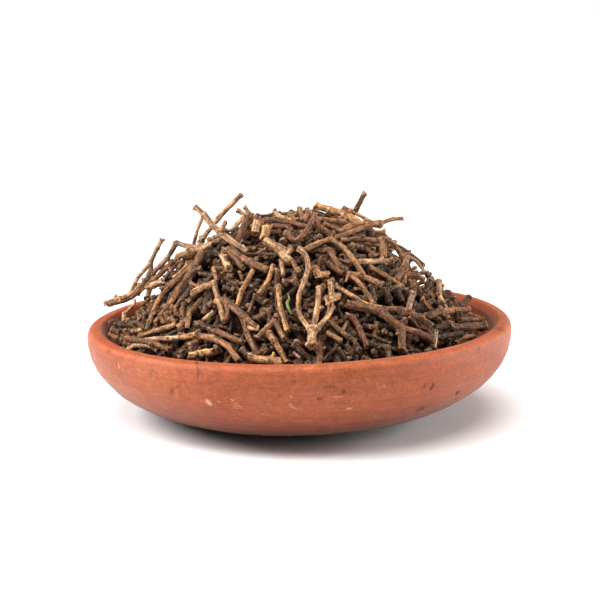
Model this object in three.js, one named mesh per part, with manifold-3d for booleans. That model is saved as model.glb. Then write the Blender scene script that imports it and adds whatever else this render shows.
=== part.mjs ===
// A shallow bowl of unglazed clay, heaped with dried clove stems.
//
// Millimetres, +Z up. The bowl rests on a small flat spot, leaning a little to its left, and the
// origin is under the middle of the whole thing. The heap is one solid: a core, with the stems that
// show fused onto it. The larger stems of the front are placed by where they show in a reference
// view of 600 by 600 pixels, and the rest are dropped on the heap one by one, by a seeded rule.

import * as THREE from "three";
import { mergeVertices } from "three/addons/utils/BufferGeometryUtils.js";
import Module from "manifold-3d";

const wasm = await Module();
wasm.setup();

// ---------------------------------------------------------------- driving dimensions

const bowlRadius = 65.0; // outside, at the widest
const bellyHeight = 25.5; // where the bowl is widest
const lipHeight = 29.0;
const lipRadius = 61.7; // the top of the rounded lip
const mouthRadius = 59.6; // the inner edge of the lip
const mouthHeight = 26.3;
const floorThickness = 5.0;
const wallFullness = 3.445; // how square the wall's section is, outwards
const wallSteepness = 1.862; // and upwards
const leanAngle = THREE.MathUtils.degToRad(1.47); // left side down
const footDepth = 0.35; // the height of clay that is worn flat under the bowl

const heapRadius = 57.5; // where the heap meets the wall
const heapOffset = -2.0; // its middle lies to the left of the bowl's
const heapEdge = 25.3; // height of the contents at the wall
const heapRise = 37.5; // from there to the top
const heapShoulder = 2.3; // how full the heap's shoulders are
const heapSlope = 1.2; // and how its foot runs out
const coreDepth = 9.0; // from the heap's surface down to where the loose stems begin
const wallGap = 0.35; // left between the heap and the bowl

const bowlSides = 48;
const coreSides = 28;
const coreRings = 8;
const stemSides = 5;
const slimSides = 4; // of limbs thinner than this
const slimRadius = 0.9;
const limbsInSolid = 170; // limbs that the heap's solid shows

// ---------------------------------------------------------------- reference view

// It looks along +Y and down, at a point above the bowl's middle. A pixel is [across, down].
const view = {
  distance: 700,
  tilt: THREE.MathUtils.degToRad(11.2),
  focal: 2280.8, // in pixels
  middle: [301.74, 300],
  aim: 35.1,
};
view.rise = Math.cos(view.tilt);
view.fall = Math.sin(view.tilt);
view.scale = view.distance / view.focal;

// The point that shows at a pixel and lies in the upright plane at depth y.
function pointAt([across, down], y) {
  const slope = (view.middle[1] - down) / view.focal;
  const up = (slope * (view.distance + y * view.rise) - y * view.fall) / (view.rise + slope * view.fall);
  const reach = view.distance + y * view.rise - up * view.fall;
  return [((across - view.middle[0]) * reach) / view.focal, y, up + view.aim];
}

// ---------------------------------------------------------------- chance

// One seeded row of numbers from 0 to 1, so that the heap is the same each time.
let seed = 20611;
function chance() {
  seed = (seed * 48271) % 2147483647;
  return seed / 2147483647;
}
const between = (low, high) => low + (high - low) * chance();

// ---------------------------------------------------------------- bowl

// Half a section of the wall, as [radius, height], from the axis under the floor, round the lip
// and back to the axis above the floor.
function bowlSection() {
  const wall = (radius, top, bottom, steps) => {
    const points = [];
    for (let i = 0; i <= steps; i++) {
      const turn = (Math.PI / 2) * (i / steps);
      const across = radius * Math.sin(turn) ** (2 / wallFullness);
      points.push([across, top - (top - bottom) * Math.cos(turn) ** (2 / wallSteepness)]);
    }
    return points;
  };
  const outside = wall(bowlRadius, bellyHeight, 0, 10);
  const inside = wall(mouthRadius, mouthHeight, floorThickness, 7).reverse();
  const lip = [];
  for (const turn of [Math.PI / 8, Math.PI / 4, (3 * Math.PI) / 8, Math.PI / 2]) {
    const across = lipRadius + (bowlRadius - lipRadius) * Math.cos(turn);
    lip.push([across, bellyHeight + (lipHeight - bellyHeight) * Math.sin(turn)]);
  }
  for (const turn of [Math.PI / 6, Math.PI / 3]) {
    const across = lipRadius - (lipRadius - mouthRadius) * Math.sin(turn);
    lip.push([across, mouthHeight + (lipHeight - mouthHeight) * Math.cos(turn)]);
  }
  return [...outside, ...lip, ...inside];
}

const section = bowlSection();
const leanCos = Math.cos(leanAngle);
const leanSin = Math.sin(leanAngle);
// Leaning, the bowl touches the table to the left of its axis.
const lowest = Math.min(...section.map(([across, up]) => up * leanCos - across * leanSin));
const bowlLift = -lowest - footDepth;

const intoBowl = (x, z) => [x * leanCos + (z - bowlLift) * leanSin, (z - bowlLift) * leanCos - x * leanSin];
const leaning = new THREE.Matrix4().makeRotationY(-leanAngle).setPosition(0, 0, bowlLift);

// The inner wall's radius at a height in the bowl's own frame.
function innerRadius(up) {
  const part = THREE.MathUtils.clamp((up - floorThickness) / (mouthHeight - floorThickness), 0, 1);
  return mouthRadius * (1 - (1 - part) ** wallSteepness) ** (1 / wallFullness);
}

// ---------------------------------------------------------------- solids

function solidOf(geometry) {
  const bare = geometry.clone();
  bare.deleteAttribute("normal");
  bare.deleteAttribute("uv");
  const merged = mergeVertices(bare, 1e-5);
  return new wasm.Manifold(
    new wasm.Mesh({
      numProp: 3,
      vertProperties: new Float32Array(merged.attributes.position.array),
      triVerts: new Uint32Array(merged.index.array),
    }),
  );
}

function geometryOf(solid) {
  const mesh = solid.getMesh();
  const geometry = new THREE.BufferGeometry();
  geometry.setAttribute("position", new THREE.BufferAttribute(mesh.vertProperties, 3));
  geometry.setIndex(new THREE.BufferAttribute(mesh.triVerts, 1));
  geometry.computeVertexNormals();
  return geometry;
}

function lathe(points, sides) {
  const profile = points.map(([across, up]) => new THREE.Vector2(Math.abs(across) < 1e-9 ? 0 : across, up));
  return new THREE.LatheGeometry(profile, sides);
}

// A lump to be cut from the lip, centred at a point of the bowl's own frame.
function lump(centre, size) {
  const geometry = new THREE.SphereGeometry(1, 10, 6);
  geometry.scale(...size).translate(...centre);
  return solidOf(geometry);
}

function makeBowl() {
  const upright = new THREE.Matrix4().makeRotationX(Math.PI / 2);
  let clay = solidOf(lathe(section, bowlSides).applyMatrix4(upright));
  const notchTurn = THREE.MathUtils.degToRad(-118);
  const notchRadius = bowlRadius - 0.4;
  const notch = [notchRadius * Math.cos(notchTurn), notchRadius * Math.sin(notchTurn), lipHeight - 2.2];
  clay = clay.subtract(lump(notch, [0.9, 1.6, 2.6]));
  const chipTurn = THREE.MathUtils.degToRad(-19);
  const chip = [lipRadius * Math.cos(chipTurn), lipRadius * Math.sin(chipTurn), lipHeight + 0.5];
  clay = clay.subtract(lump(chip, [2.6, 1.5, 1.1]));
  const leaned = solidOf(geometryOf(clay).applyMatrix4(leaning));
  const table = new THREE.BoxGeometry(4 * bowlRadius, 4 * bowlRadius, lipHeight);
  table.translate(0, 0, -lipHeight / 2);
  return leaned.subtract(solidOf(table));
}

// ---------------------------------------------------------------- heap's form

const heapLean = Math.tan(leanAngle);

// The height of the heap's surface, which the uppermost stems lie in.
function heapTop(x, y) {
  const across = (Math.hypot(x - heapOffset, y) / heapRadius) ** heapShoulder;
  return heapEdge + x * heapLean + heapRise * Math.max(0, 1 - across) ** heapSlope;
}

// How far a ball inside the bowl must move to clear the wall: inwards, and upwards past the lip.
function crowding(x, y, z, radius) {
  const [own, up] = intoBowl(x, z);
  const overLip = lipHeight + wallGap + radius - up;
  const reach = Math.hypot(own, y);
  const room = overLip > 0 ? innerRadius(up - radius * 0.7) - wallGap - radius : bowlRadius - 2;
  return { inwards: reach - room, upwards: overLip, reach };
}

// ---------------------------------------------------------------- stems

// A limb is a bent rod, given by its thickness, its two ends and the points it runs through.
// An end is a knob (k), cut (c), a taper (t), or grows from a node (n).
const limb = (thickness, ends, ...points) => ({ radius: thickness / 2, ends, points });

// The stems that stand out in the reference view, by the pixels their limbs run through.
const shownStems = {
  "left_spire": [
    limb(1.1, "kn", [162, 239], [156.5, 250], [150.5, 262.5]),
    limb(1.1, "nt", [150.5, 262.5], [138, 278], [128, 294.5], [105, 304]),
    limb(1.5, "nc", [150.5, 262.5], [150.5, 270], [147, 277]),
  ],
  "left_angle": [
    limb(1.7, "nc", [176, 243], [168, 257], [152, 274], [131, 298]),
    limb(1.7, "nc", [176, 243], [190, 246.5], [206, 245.5], [221, 240]),
  ],
  "left_stout": [limb(2.3, "kc", [177, 256], [192, 251.5], [212, 246])],
  "left_chunk": [limb(1.9, "cc", [179, 258], [171, 264], [161, 271])],
  "left_pale_bend": [limb(2.0, "kc", [163, 281], [155, 284], [150, 289], [147, 297])],
  "left_knob": [limb(1.7, "kc", [152, 278], [160, 275])],
  "long_thin": [limb(0.9, "cc", [188, 265], [180, 272], [173, 278])],
  "long_slope": [limb(1.4, "cc", [198, 261], [173, 283], [157, 303], [146.5, 330])],
  "long_second": [
    limb(1.0, "cn", [200, 252], [189, 272], [178, 292]),
    limb(1.7, "nc", [178, 292], [170, 304], [155, 323]),
  ],
  "short_pale": [limb(0.9, "tt", [188, 294], [178, 303])],
  "peeled": [limb(2.4, "cc", [204, 252], [197, 266], [189, 279])],
  "bent_twig": [
    limb(0.9, "cn", [134.5, 300], [134, 304], [125, 313.5]),
    limb(1.6, "nc", [125, 313.5], [124, 321], [126, 329]),
  ],
  "wall_knob": [limb(1.5, "kc", [107.5, 323], [114, 321], [123, 325])],
  "wall_stub": [limb(1.6, "kc", [110, 335], [119, 340])],
  "pale_knob": [limb(1.9, "kc", [134, 331], [144, 330])],
  "light_long": [limb(1.5, "kc", [140, 336], [155, 331], [176, 324])],
  "pale_fork": [
    limb(1.6, "tn", [190, 309], [188.5, 318]),
    limb(1.6, "nc", [188.5, 318], [178, 327.5]),
    limb(1.4, "nc", [188.5, 318], [187, 328]),
  ],
  "front_left_upper": [limb(1.5, "cc", [146, 340], [166, 338.5], [186, 337])],
  "front_left_lower": [limb(1.9, "kc", [123, 338], [144, 341], [156, 345], [170, 350])],
  "front_left_pale": [limb(1.6, "cc", [128, 349], [136, 345.5], [148, 346], [158, 350.5])],
  "front_arch": [
    limb(2.2, "cn", [183, 337], [197, 335.5], [213, 338.5]),
    limb(2.2, "nc", [213, 338.5], [228, 346.5], [239, 362]),
  ],
  "cut_stub": [limb(2.6, "cc", [189, 356], [200, 354], [214, 352])],
  "facing_stub": [limb(2.1, "kc", [189.5, 344], [200, 340])],
  "spire": [
    limb(1.2, "kn", [241, 195], [229, 207], [217.5, 219.5]),
    limb(1.5, "nc", [217.5, 219.5], [209, 230], [199, 243]),
  ],
  "spire_fork": [
    limb(2.0, "kn", [195, 207], [204, 214.5]),
    limb(2.2, "nc", [204, 214.5], [214, 227], [231, 240.5], [247, 252]),
    limb(1.1, "nc", [204, 214.5], [198, 228], [193.5, 244]),
  ],
  "spire_stub": [limb(1.5, "cc", [225.5, 222], [216.5, 239])],
  "dark_node": [
    limb(2.2, "kn", [223, 251], [231, 250.5]),
    limb(2.5, "nc", [231, 250.5], [246, 260], [268, 270.5]),
    limb(1.8, "nc", [231, 254], [243, 268]),
  ],
  "facing_knob": [limb(2.2, "kc", [229.5, 267], [222, 257])],
  "small_elbow": [
    limb(1.0, "cn", [223, 268], [213.5, 268.5]),
    limb(1.2, "nc", [213.5, 268.5], [216.5, 281]),
  ],
  "two_hole_stout": [limb(2.9, "kc", [251, 217], [243, 229], [238.5, 243])],
  "top_left_knobs": [
    limb(1.4, "kc", [237, 210], [250, 217]),
    limb(1.4, "kc", [244.5, 207], [252, 217]),
    limb(1.4, "cc", [244, 216], [231, 231]),
  ],
  "wide_wedge": [limb(2.6, "cc", [257, 221], [255, 234])],
  "pale_cut": [limb(3.1, "cc", [267, 226], [264, 239])],
  "double_end": [
    limb(2.6, "cn", [266, 241], [279, 248.5]),
    limb(2.4, "nk", [279, 248.5], [290, 252]),
    limb(2.7, "nc", [279, 250], [290, 262]),
  ],
  "thin_bar": [limb(0.8, "cc", [245, 254], [277, 254.5])],
  "top_long": [limb(1.5, "cc", [259, 221], [283, 221], [309, 227])],
  "top_bar": [limb(1.5, "kc", [274, 211], [281, 217], [299, 220])],
  "top_knobs": [
    limb(1.5, "kc", [299.5, 208], [303, 220]),
    limb(1.8, "kc", [308, 212], [303, 221]),
    limb(1.3, "kc", [290, 214.5], [297, 221]),
  ],
  "arch": [
    limb(1.7, "cn", [288, 234], [295, 240.5], [306, 231.5], [314, 216]),
    limb(1.4, "nc", [314, 214], [318, 226], [332, 236.5]),
  ],
  "top_stout": [
    limb(2.4, "kn", [315, 205], [329, 210]),
    limb(2.6, "nc", [329, 210], [345, 214], [357, 222]),
  ],
  "top_under": [limb(1.6, "cc", [319, 219], [337, 221], [357, 222.5])],
  "top_spike": [limb(1.4, "cc", [365, 193], [360, 202], [354, 214])],
  "top_slope": [limb(1.2, "kc", [342.5, 207], [357, 214], [371, 221.5])],
  "right_tip": [
    limb(1.3, "tn", [402.5, 218.5], [392, 219.5], [379, 224]),
    limb(2.7, "nn", [380, 224], [366, 224]),
    limb(1.5, "nc", [366, 222.5], [352, 225], [338, 231]),
    limb(1.8, "nc", [366, 226], [352, 231], [334, 238]),
  ],
  "right_knob": [limb(1.4, "kc", [385.5, 230], [376, 233])],
  "right_dark_bar": [limb(1.6, "cc", [341, 240], [360, 239], [379, 241])],
  "mushroom": [
    limb(2.2, "kc", [383, 239], [383.5, 248], [384, 258]),
    limb(1.6, "nc", [387, 239], [395, 245], [403, 260], [403, 268]),
  ],
  "saddle": [
    limb(1.8, "nc", [331, 239], [318, 243.5], [303, 250.5]),
    limb(1.9, "nc", [331, 240], [343, 247.5], [354, 260], [363, 275]),
  ],
  "saddle_under": [
    limb(1.6, "kc", [327.5, 249], [333, 256], [340, 269]),
    limb(1.6, "kc", [327.5, 263], [334, 268], [342, 273]),
  ],
  "angular_chunk": [limb(2.0, "kc", [352, 246], [361, 247])],
  "pale_bar": [limb(1.7, "ck", [357, 262], [374, 261], [392, 260.5])],
  "right_upright": [limb(2.1, "kc", [407, 253], [405, 266], [396, 281])],
  "right_hook": [limb(0.95, "ck", [409, 257], [417, 262], [425, 273])],
  "right_tee": [
    limb(2.3, "cn", [402, 274], [418, 276]),
    limb(1.1, "nk", [418, 276], [424, 279]),
    limb(1.7, "nc", [404, 273], [404.5, 285]),
  ],
  "right_dark_post": [limb(1.8, "kc", [430, 280], [425, 292])],
  "right_pale_post": [
    limb(1.9, "kn", [439, 280], [439, 295]),
    limb(1.3, "nc", [439, 295], [446, 308]),
  ],
  "right_back_knobs": [
    limb(1.7, "kc", [449, 292.5], [443, 296]),
    limb(1.6, "kc", [453, 297.5], [445, 296]),
  ],
  "right_lip_stem": [limb(2.0, "kc", [469.5, 297], [457, 309])],
  "right_pale_run": [limb(1.5, "kc", [335, 286], [350, 294.5], [365, 304], [382, 308])],
  "big_fork": [
    limb(2.8, "cn", [347, 304], [364, 308], [382, 312.5]),
    limb(2.1, "nk", [382, 310], [400, 309.5], [416, 315.5], [431, 326]),
    limb(2.7, "nk", [382, 314], [402, 327.5], [418, 333], [432, 340]),
    limb(2.6, "nk", [402, 330], [402, 341], [401.5, 351]),
  ],
  "middle_wishbone": [
    limb(1.9, "nk", [348, 274.5], [362, 276], [382, 284.5]),
    limb(1.5, "nc", [349, 274], [360, 284], [374, 304]),
    limb(1.3, "nt", [348, 274], [346, 281]),
  ],
  "long_diagonal": [limb(1.4, "cc", [369, 266], [386, 276], [403, 287])],
  "knob_row": [
    limb(1.9, "kc", [372, 286], [374, 300]),
    limb(1.8, "kc", [385, 287.5], [390, 300]),
    limb(2.0, "kc", [396, 287], [402, 300]),
    limb(2.0, "kc", [405, 289], [409, 298]),
  ],
  "grey_post": [limb(2.1, "kc", [413, 293], [408, 310])],
  "ringed_twig": [limb(1.4, "kc", [422, 299], [431, 310])],
  "reddish_bend": [
    limb(1.5, "kn", [346, 315], [352, 317]),
    limb(1.7, "nc", [352, 317], [358, 326], [367, 347]),
  ],
  "front_right_rod": [limb(1.6, "ck", [330, 321], [342, 332], [356, 342])],
  "front_right_stub": [limb(1.4, "ck", [327, 332.5], [341, 341])],
  "dull_twig": [limb(1.1, "cc", [337, 347], [323, 360.5])],
  "front_knobs": [
    limb(1.9, "kc", [352, 353], [346, 345]),
    limb(1.7, "kc", [359, 351], [356, 344]),
  ],
  "peeled_sliver": [limb(1.6, "tc", [347, 322], [342, 331])],
  "white_sliver": [limb(0.9, "kc", [436.5, 331], [434.5, 348])],
  "wall_stout": [limb(2.6, "cc", [426, 316.5], [440, 312.5], [453, 310.5])],
  "wall_grey": [limb(1.9, "ck", [454, 310], [468, 309.5])],
  "wall_thread": [limb(0.8, "cc", [468, 313], [483, 319]), limb(1.5, "ck", [460, 320], [482, 319])],
  "ringed_dark": [limb(2.1, "ck", [436, 327.5], [450, 325])],
  "wall_big": [limb(2.8, "ck", [452, 328.5], [470, 327], [489, 326.5])],
  "wall_low_dark": [limb(1.8, "cc", [437, 337.5], [462, 333])],
  "wall_low": [limb(2.0, "cc", [456, 343], [464, 338], [475, 335.5])],
  "trident": [
    limb(3.0, "kn", [311.5, 344], [312.5, 329]),
    limb(2.0, "nn", [309, 329], [300, 315], [298.5, 299], [304, 281]),
    limb(2.1, "nk", [304, 281], [308, 267], [306, 256], [299, 249]),
    limb(1.8, "nk", [314, 327], [317, 308], [319, 288]),
    limb(1.9, "nk", [317, 329], [329, 314], [331, 298], [330.5, 280]),
  ],
  "facing_ring": [limb(2.7, "kc", [328, 298], [338, 297])],
  "seven": [
    limb(2.1, "cn", [192, 293], [203, 286.5], [214, 283.5]),
    limb(1.7, "nc", [214, 283.5], [218, 299], [224, 321]),
  ],
  "crossing": [
    limb(2.5, "cn", [223, 298], [232, 306], [244, 317]),
    limb(2.3, "nc", [244, 317], [257, 328]),
    limb(1.9, "nc", [243, 318], [247.5, 335], [258, 355]),
    limb(1.5, "nc", [224, 299], [227.5, 309], [226, 321]),
  ],
  "orange_rod": [
    limb(1.6, "cn", [253, 270], [241.5, 291.5]),
    limb(1.4, "nc", [241.5, 291.5], [237, 306]),
  ],
  "middle_rod": [limb(1.8, "kc", [273, 266], [268, 280], [259, 294])],
  "ring_twig": [limb(0.9, "kc", [255.5, 295], [248, 313])],
  "holed_rod": [limb(2.2, "kc", [278.5, 286], [280.5, 308], [287, 331])],
  "low_brown": [limb(1.9, "kc", [215, 331], [243, 342.5])],
  "bottom_pale": [limb(2.7, "kc", [250, 358], [264, 360], [282, 362])],
  "low_rod": [limb(2.3, "kn", [269, 334], [275, 342]), limb(1.7, "nc", [275, 342], [287, 363])],
  "low_bend": [
    limb(1.5, "nk", [274, 321], [266, 329], [257, 338]),
    limb(1.7, "nc", [274, 321], [284, 339]),
  ],
  "small_node": [limb(1.6, "kc", [199.5, 323], [213.5, 331])],
  "pale_sliver": [limb(1.0, "cc", [213, 312], [203, 320])],
  "broad_dark": [limb(2.8, "cc", [212, 289], [208, 302], [205, 314])],
  "tan_ring": [limb(1.7, "kc", [202, 300], [191, 311])],
  "short_pale_rod": [limb(1.5, "ck", [248, 328], [259, 328.5])],
  "cut_piece": [limb(2.1, "cc", [316, 275], [328, 274])],
  "red_knob": [limb(2.2, "kc", [314.5, 268], [318, 275])],
  "cream_tip": [limb(1.4, "ck", [293, 262], [298.5, 272])],
  "upright_pale": [limb(1.3, "cc", [281, 260], [283, 276])],
};

const knobFlare = 1.4; // a knob's width over its limb's

// A smooth rod through a limb's points.
const rodOf = (points) => {
  const corners = points.map((point) => new THREE.Vector3(...point));
  return new THREE.CatmullRomCurve3(corners, false, "catmullrom", 0.5);
};

// Balls strung along a limb, by which it is laid, as [x, y, z, radius].
const beadStep = 1.3;
function beadsOf({ points, radius }) {
  const rod = rodOf(points);
  let length = 0;
  for (let i = 1; i < points.length; i++) {
    length += Math.hypot(...points[i].map((value, axis) => value - points[i - 1][axis]));
  }
  const count = Math.ceil(length / beadStep);
  const beads = [];
  for (let i = 0; i <= count; i++) {
    const { x, y, z } = rod.getPoint(i / count);
    beads.push([x, y, z, radius]);
  }
  return beads;
}

const nest = 0.8; // a shown stem's middle lies this far under the heap's surface

// The depth at which a pixel's line of sight first meets the heap, or passes nearest over it.
function depthAt(pixel) {
  let nearest = Infinity;
  let depth = 0;
  for (let y = -56; y <= 30; y += 0.5) {
    const [x, , z] = pointAt(pixel, y);
    if (Math.hypot(x, y) > heapRadius - 1) continue;
    const gap = z - heapTop(x, y) + nest;
    if (gap < nearest) {
      nearest = gap;
      depth = y;
    }
    if (gap <= 0) break;
  }
  return depth;
}

// A stem leans back no faster than this from its foremost point, and then it stands clear.
const leanBack = 0.7;

function placeShown(limbs) {
  const pixels = limbs.flatMap(({ points }) => points);
  let front = pixels[0];
  for (const pixel of pixels) {
    if (depthAt(pixel) < depthAt(front)) front = pixel;
  }
  const frontDepth = depthAt(front);
  return limbs.map(({ points, radius, ends }) => {
    const placed = points.map((pixel) => {
      const apart = view.scale * Math.hypot(pixel[0] - front[0], pixel[1] - front[1]);
      const [x, y, z] = pointAt(pixel, Math.min(depthAt(pixel), frontDepth + leanBack * apart));
      const { inwards, upwards, reach } = crowding(x, y, z, radius * 1.4);
      if (inwards <= 0) return [x, y, z];
      if (upwards > 0 && upwards < inwards) return [x, y, z + upwards];
      return [x * (1 - inwards / reach), y * (1 - inwards / reach), z];
    });
    return { points: placed, radius, ends };
  });
}

// A loose stem's limbs about its own middle, lying along X.
function looseStem() {
  const draw = chance();
  const bend = between(-0.09, 0.09);
  const sag = between(-0.05, 0.05);
  if (draw < 0.4) {
    const half = between(6, 12.5);
    const radius = between(0.95, 1.45);
    return [limb(2 * radius, "kc", [-half, 0, 0], [-half / 3, bend * half * 2, sag * half], [half, 0, 0])];
  }
  if (draw < 0.62) {
    const stub = between(4, 9);
    const radius = between(1.15, 1.6);
    const spread = between(0.3, 0.65);
    const roll = between(-0.7, 0.7);
    const limbs = [limb(2 * radius, "kn", [-stub, 0, 0], [0, 0, 0])];
    for (const side of chance() < 0.35 ? [-1, 0, 1] : [-1, 1]) {
      const reach = between(8, 15);
      const wide = side * Math.sin(spread) * reach;
      const along = reach * Math.cos(side * spread);
      const half = [along * 0.45, wide * 0.6 * Math.cos(roll), wide * 0.6 * Math.sin(roll)];
      const tip = [along, wide * Math.cos(roll), wide * Math.sin(roll)];
      limbs.push(limb(1.35 * radius, side < 0 ? "nk" : "nc", [0, 0, 0], half, tip));
    }
    return limbs;
  }
  if (draw < 0.72) {
    const half = between(5, 9);
    const radius = between(0.8, 1.3);
    const turn = between(0.7, 1.2);
    const tip = [half * Math.cos(turn), half * Math.sin(turn), bend * half];
    return [
      limb(2 * radius, "cn", [-half, 0, 0], [-half / 2, bend * half, 0], [0, 0, 0]),
      limb(1.8 * radius, "nk", [0, 0, 0], tip),
    ];
  }
  if (draw < 0.9) {
    const half = between(5, 10);
    const radius = between(0.5, 0.75);
    return [limb(2 * radius, "kt", [-half, 0, 0], [half / 4, bend * half * 3, sag * half], [half, 0, 0])];
  }
  const half = between(2, 4);
  const radius = between(1.1, 1.7);
  return [limb(2 * radius, "kc", [-half, 0, 0], [half, 0, 0])];
}

// ---------------------------------------------------------------- laying the heap

// The heap as it grows, on a square grid: how high it has come, and how high it may come under
// the stems that are placed first.
const fieldHalf = 60;
const fieldCell = 0.8;
const fieldCount = Math.round((2 * fieldHalf) / fieldCell) + 1;
const height = new Float64Array(fieldCount * fieldCount);
const ceiling = new Float64Array(fieldCount * fieldCount).fill(Infinity);
const cellOf = (x, y) => {
  const column = Math.round((x + fieldHalf) / fieldCell);
  const row = Math.round((y + fieldHalf) / fieldCell);
  return row * fieldCount + column;
};

for (let row = 0; row < fieldCount; row++) {
  for (let column = 0; column < fieldCount; column++) {
    const x = column * fieldCell - fieldHalf;
    const y = row * fieldCell - fieldHalf;
    height[row * fieldCount + column] = heapTop(x, y) - coreDepth;
  }
}

// Calls visit(cell, distance) for the cells within a ball's shadow.
function underBall(x, y, radius, visit) {
  const reach = Math.ceil(radius / fieldCell);
  const middleColumn = Math.round((x + fieldHalf) / fieldCell);
  const middleRow = Math.round((y + fieldHalf) / fieldCell);
  for (let row = middleRow - reach; row <= middleRow + reach; row++) {
    for (let column = middleColumn - reach; column <= middleColumn + reach; column++) {
      const away = Math.hypot(column * fieldCell - fieldHalf - x, row * fieldCell - fieldHalf - y);
      const inside = row >= 0 && row < fieldCount && column >= 0 && column < fieldCount;
      if (inside && away <= radius) visit(row * fieldCount + column, away);
    }
  }
}

const settle = 0.8; // a stem sinks into those below by a fifth of its radius
const spill = 0.5; // it may stand this far above the heap's surface
const overlap = 0.5; // and this far into a stem that was placed before it
const steepest = 1.4; // slope of a lying stem
const slopeSteps = 28;

// The slope and height at which a rod of beads lies on the heap, once its middle and heading are
// given: of all slopes, the one that lets it down the furthest.
function lay(beads, middle, heading) {
  const cos = Math.cos(heading);
  const sin = Math.sin(heading);
  const at = ([x, y], shrink) => [
    middle[0] + x * shrink * cos - y * sin,
    middle[1] + x * shrink * sin + y * cos,
  ];
  let slope = 0;
  let rest = 0;
  for (let pass = 0; pass < 2; pass++) {
    const shrink = 1 / Math.sqrt(1 + slope * slope);
    const props = beads.map((bead) => {
      const [x, y] = at(bead, shrink);
      return [bead[0] * shrink, height[cellOf(x, y)] + bead[3] * settle - bead[2]];
    });
    rest = Infinity;
    for (let i = 0; i <= slopeSteps; i++) {
      const tried = steepest * ((2 * i) / slopeSteps - 1);
      let lift = -Infinity;
      for (const [along, prop] of props) lift = Math.max(lift, prop - tried * along);
      if (lift < rest) {
        rest = lift;
        slope = tried;
      }
    }
  }
  const shrink = 1 / Math.sqrt(1 + slope * slope);
  return (bead) => {
    const [x, y] = at(bead, shrink);
    return [x, y, rest + slope * shrink * bead[0] + bead[2]];
  };
}

// How well a laid stem fills the heap, or null where it sticks out or runs into something.
function fitOf(beads, put) {
  let room = 0;
  for (const bead of beads) {
    const [x, y, z] = put(bead);
    if (Math.hypot(x, y) > fieldHalf - 2) return null;
    if (z + bead[3] > heapTop(x, y) + spill) return null;
    if (z + bead[3] > ceiling[cellOf(x, y)] + overlap) return null;
    if (crowding(x, y, z, bead[3] * 1.3).inwards > 0) return null;
    room += heapTop(x, y) - z;
  }
  return room / beads.length;
}

function raise(beads) {
  for (const [x, y, z, radius] of beads) {
    underBall(x, y, radius, (cell, away) => {
      height[cell] = Math.max(height[cell], z + Math.sqrt(radius * radius - away * away));
    });
  }
}

const wholeCount = 460; // whole stems that are dropped
const brokenCount = 420; // and broken ones, which find the gaps
const brokenSize = 0.55;
const plantedCount = 700; // places tried for stubs that stand in what gaps are left
const triesPerStem = 9;
const gapDepth = 3.2; // a gap this deep takes a stub

const scaled = (point, size) => point.map((value) => value * size);

// Drops one stem at the best of several places.
function dropStem(stems, size) {
  const limbs = looseStem().map(({ points, radius, ends }) => {
    return { points: points.map((point) => scaled(point, size)), radius: radius * Math.sqrt(size), ends };
  });
  const beads = limbs.flatMap(beadsOf);
  let best = null;
  for (let tried = 0; tried < triesPerStem; tried++) {
    const reach = (heapRadius - 2) * Math.sqrt(chance());
    const turn = 2 * Math.PI * chance();
    const heading = 2 * Math.PI * chance();
    const put = lay(beads, [reach * Math.cos(turn), reach * Math.sin(turn)], heading);
    const room = fitOf(beads, put);
    if (room !== null && (best === null || room > best.room)) best = { room, put };
  }
  if (best === null) return;
  const laid = limbs.map(({ points, radius, ends }) => ({ points: points.map(best.put), radius, ends }));
  const laidBeads = laid.flatMap(beadsOf);
  raise(laidBeads);
  stems.push({ limbs: laid, beads: laidBeads, shown: false });
}

// Stands one stub in the heap where there is a gap, pointing outwards.
function plantStub(stems) {
  const reach = (heapRadius - 1) * Math.sqrt(chance());
  const turn = 2 * Math.PI * chance();
  const length = between(4, 7);
  const radius = between(0.8, 1.5);
  const tilt = between(0.2, 1.1);
  const swing = between(-0.8, 0.8);
  const rise = between(0.3, 0.9);
  const x = reach * Math.cos(turn);
  const y = reach * Math.sin(turn);
  const gap = heapTop(x, y) - height[cellOf(x, y)];
  if (gap < gapDepth) return;
  const z = heapTop(x, y) - gap * (1 - rise);
  const out = [
    Math.cos(turn + swing) * Math.sin(tilt),
    Math.sin(turn + swing) * Math.sin(tilt),
    Math.cos(tilt),
  ];
  const stub = { ...limb(2 * radius, "kn", [x, y, z], [x, y, z]), points: [[x, y, z]] };
  stub.points.push(out.map((value, axis) => stub.points[0][axis] - value * length));
  const end = [x, y, z, radius];
  if (z + radius > ceiling[cellOf(x, y)] + overlap) return;
  if (crowding(x, y, z, radius * knobFlare).inwards > 0) return;
  if (crowding(...stub.points[1], radius).inwards > 0) return;
  raise([end]);
  stems.push({ limbs: [stub], beads: [end], shown: false });
}

function buildHeap() {
  const stems = [];
  for (const limbs of Object.values(shownStems)) {
    const placed = placeShown(limbs);
    const beads = placed.flatMap(beadsOf);
    for (const [x, y, z, radius] of beads) {
      underBall(x, y, radius + fieldCell / 2, (cell) => {
        ceiling[cell] = Math.min(ceiling[cell], z - radius);
      });
    }
    stems.push({ limbs: placed, beads, shown: true });
  }
  const shownBeads = stems.flatMap(({ beads }) => beads);
  for (let i = 0; i < wholeCount; i++) dropStem(stems, 1);
  for (let i = 0; i < brokenCount; i++) dropStem(stems, brokenSize);
  for (let i = 0; i < plantedCount; i++) plantStub(stems);
  raise(shownBeads);
  return stems;
}

const stems = buildHeap();

// ---------------------------------------------------------------- heap's solid

const taperWidth = 0.5;
const neck = 1.3; // a knob's length over its limb's radius
const slack = 0.5; // a limb that bends less is straight
const smallest = 0.03; // smaller edges are joined up

// Whether a limb needs no ring at a point between its ends.
function straightAt(points, i) {
  const [start, end, point] = [points[0], points[points.length - 1], points[i]].map((p) => new THREE.Vector3(...p));
  return new THREE.Line3(start, end).closestPointToPoint(point, true, new THREE.Vector3()).distanceTo(point) < slack;
}

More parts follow.
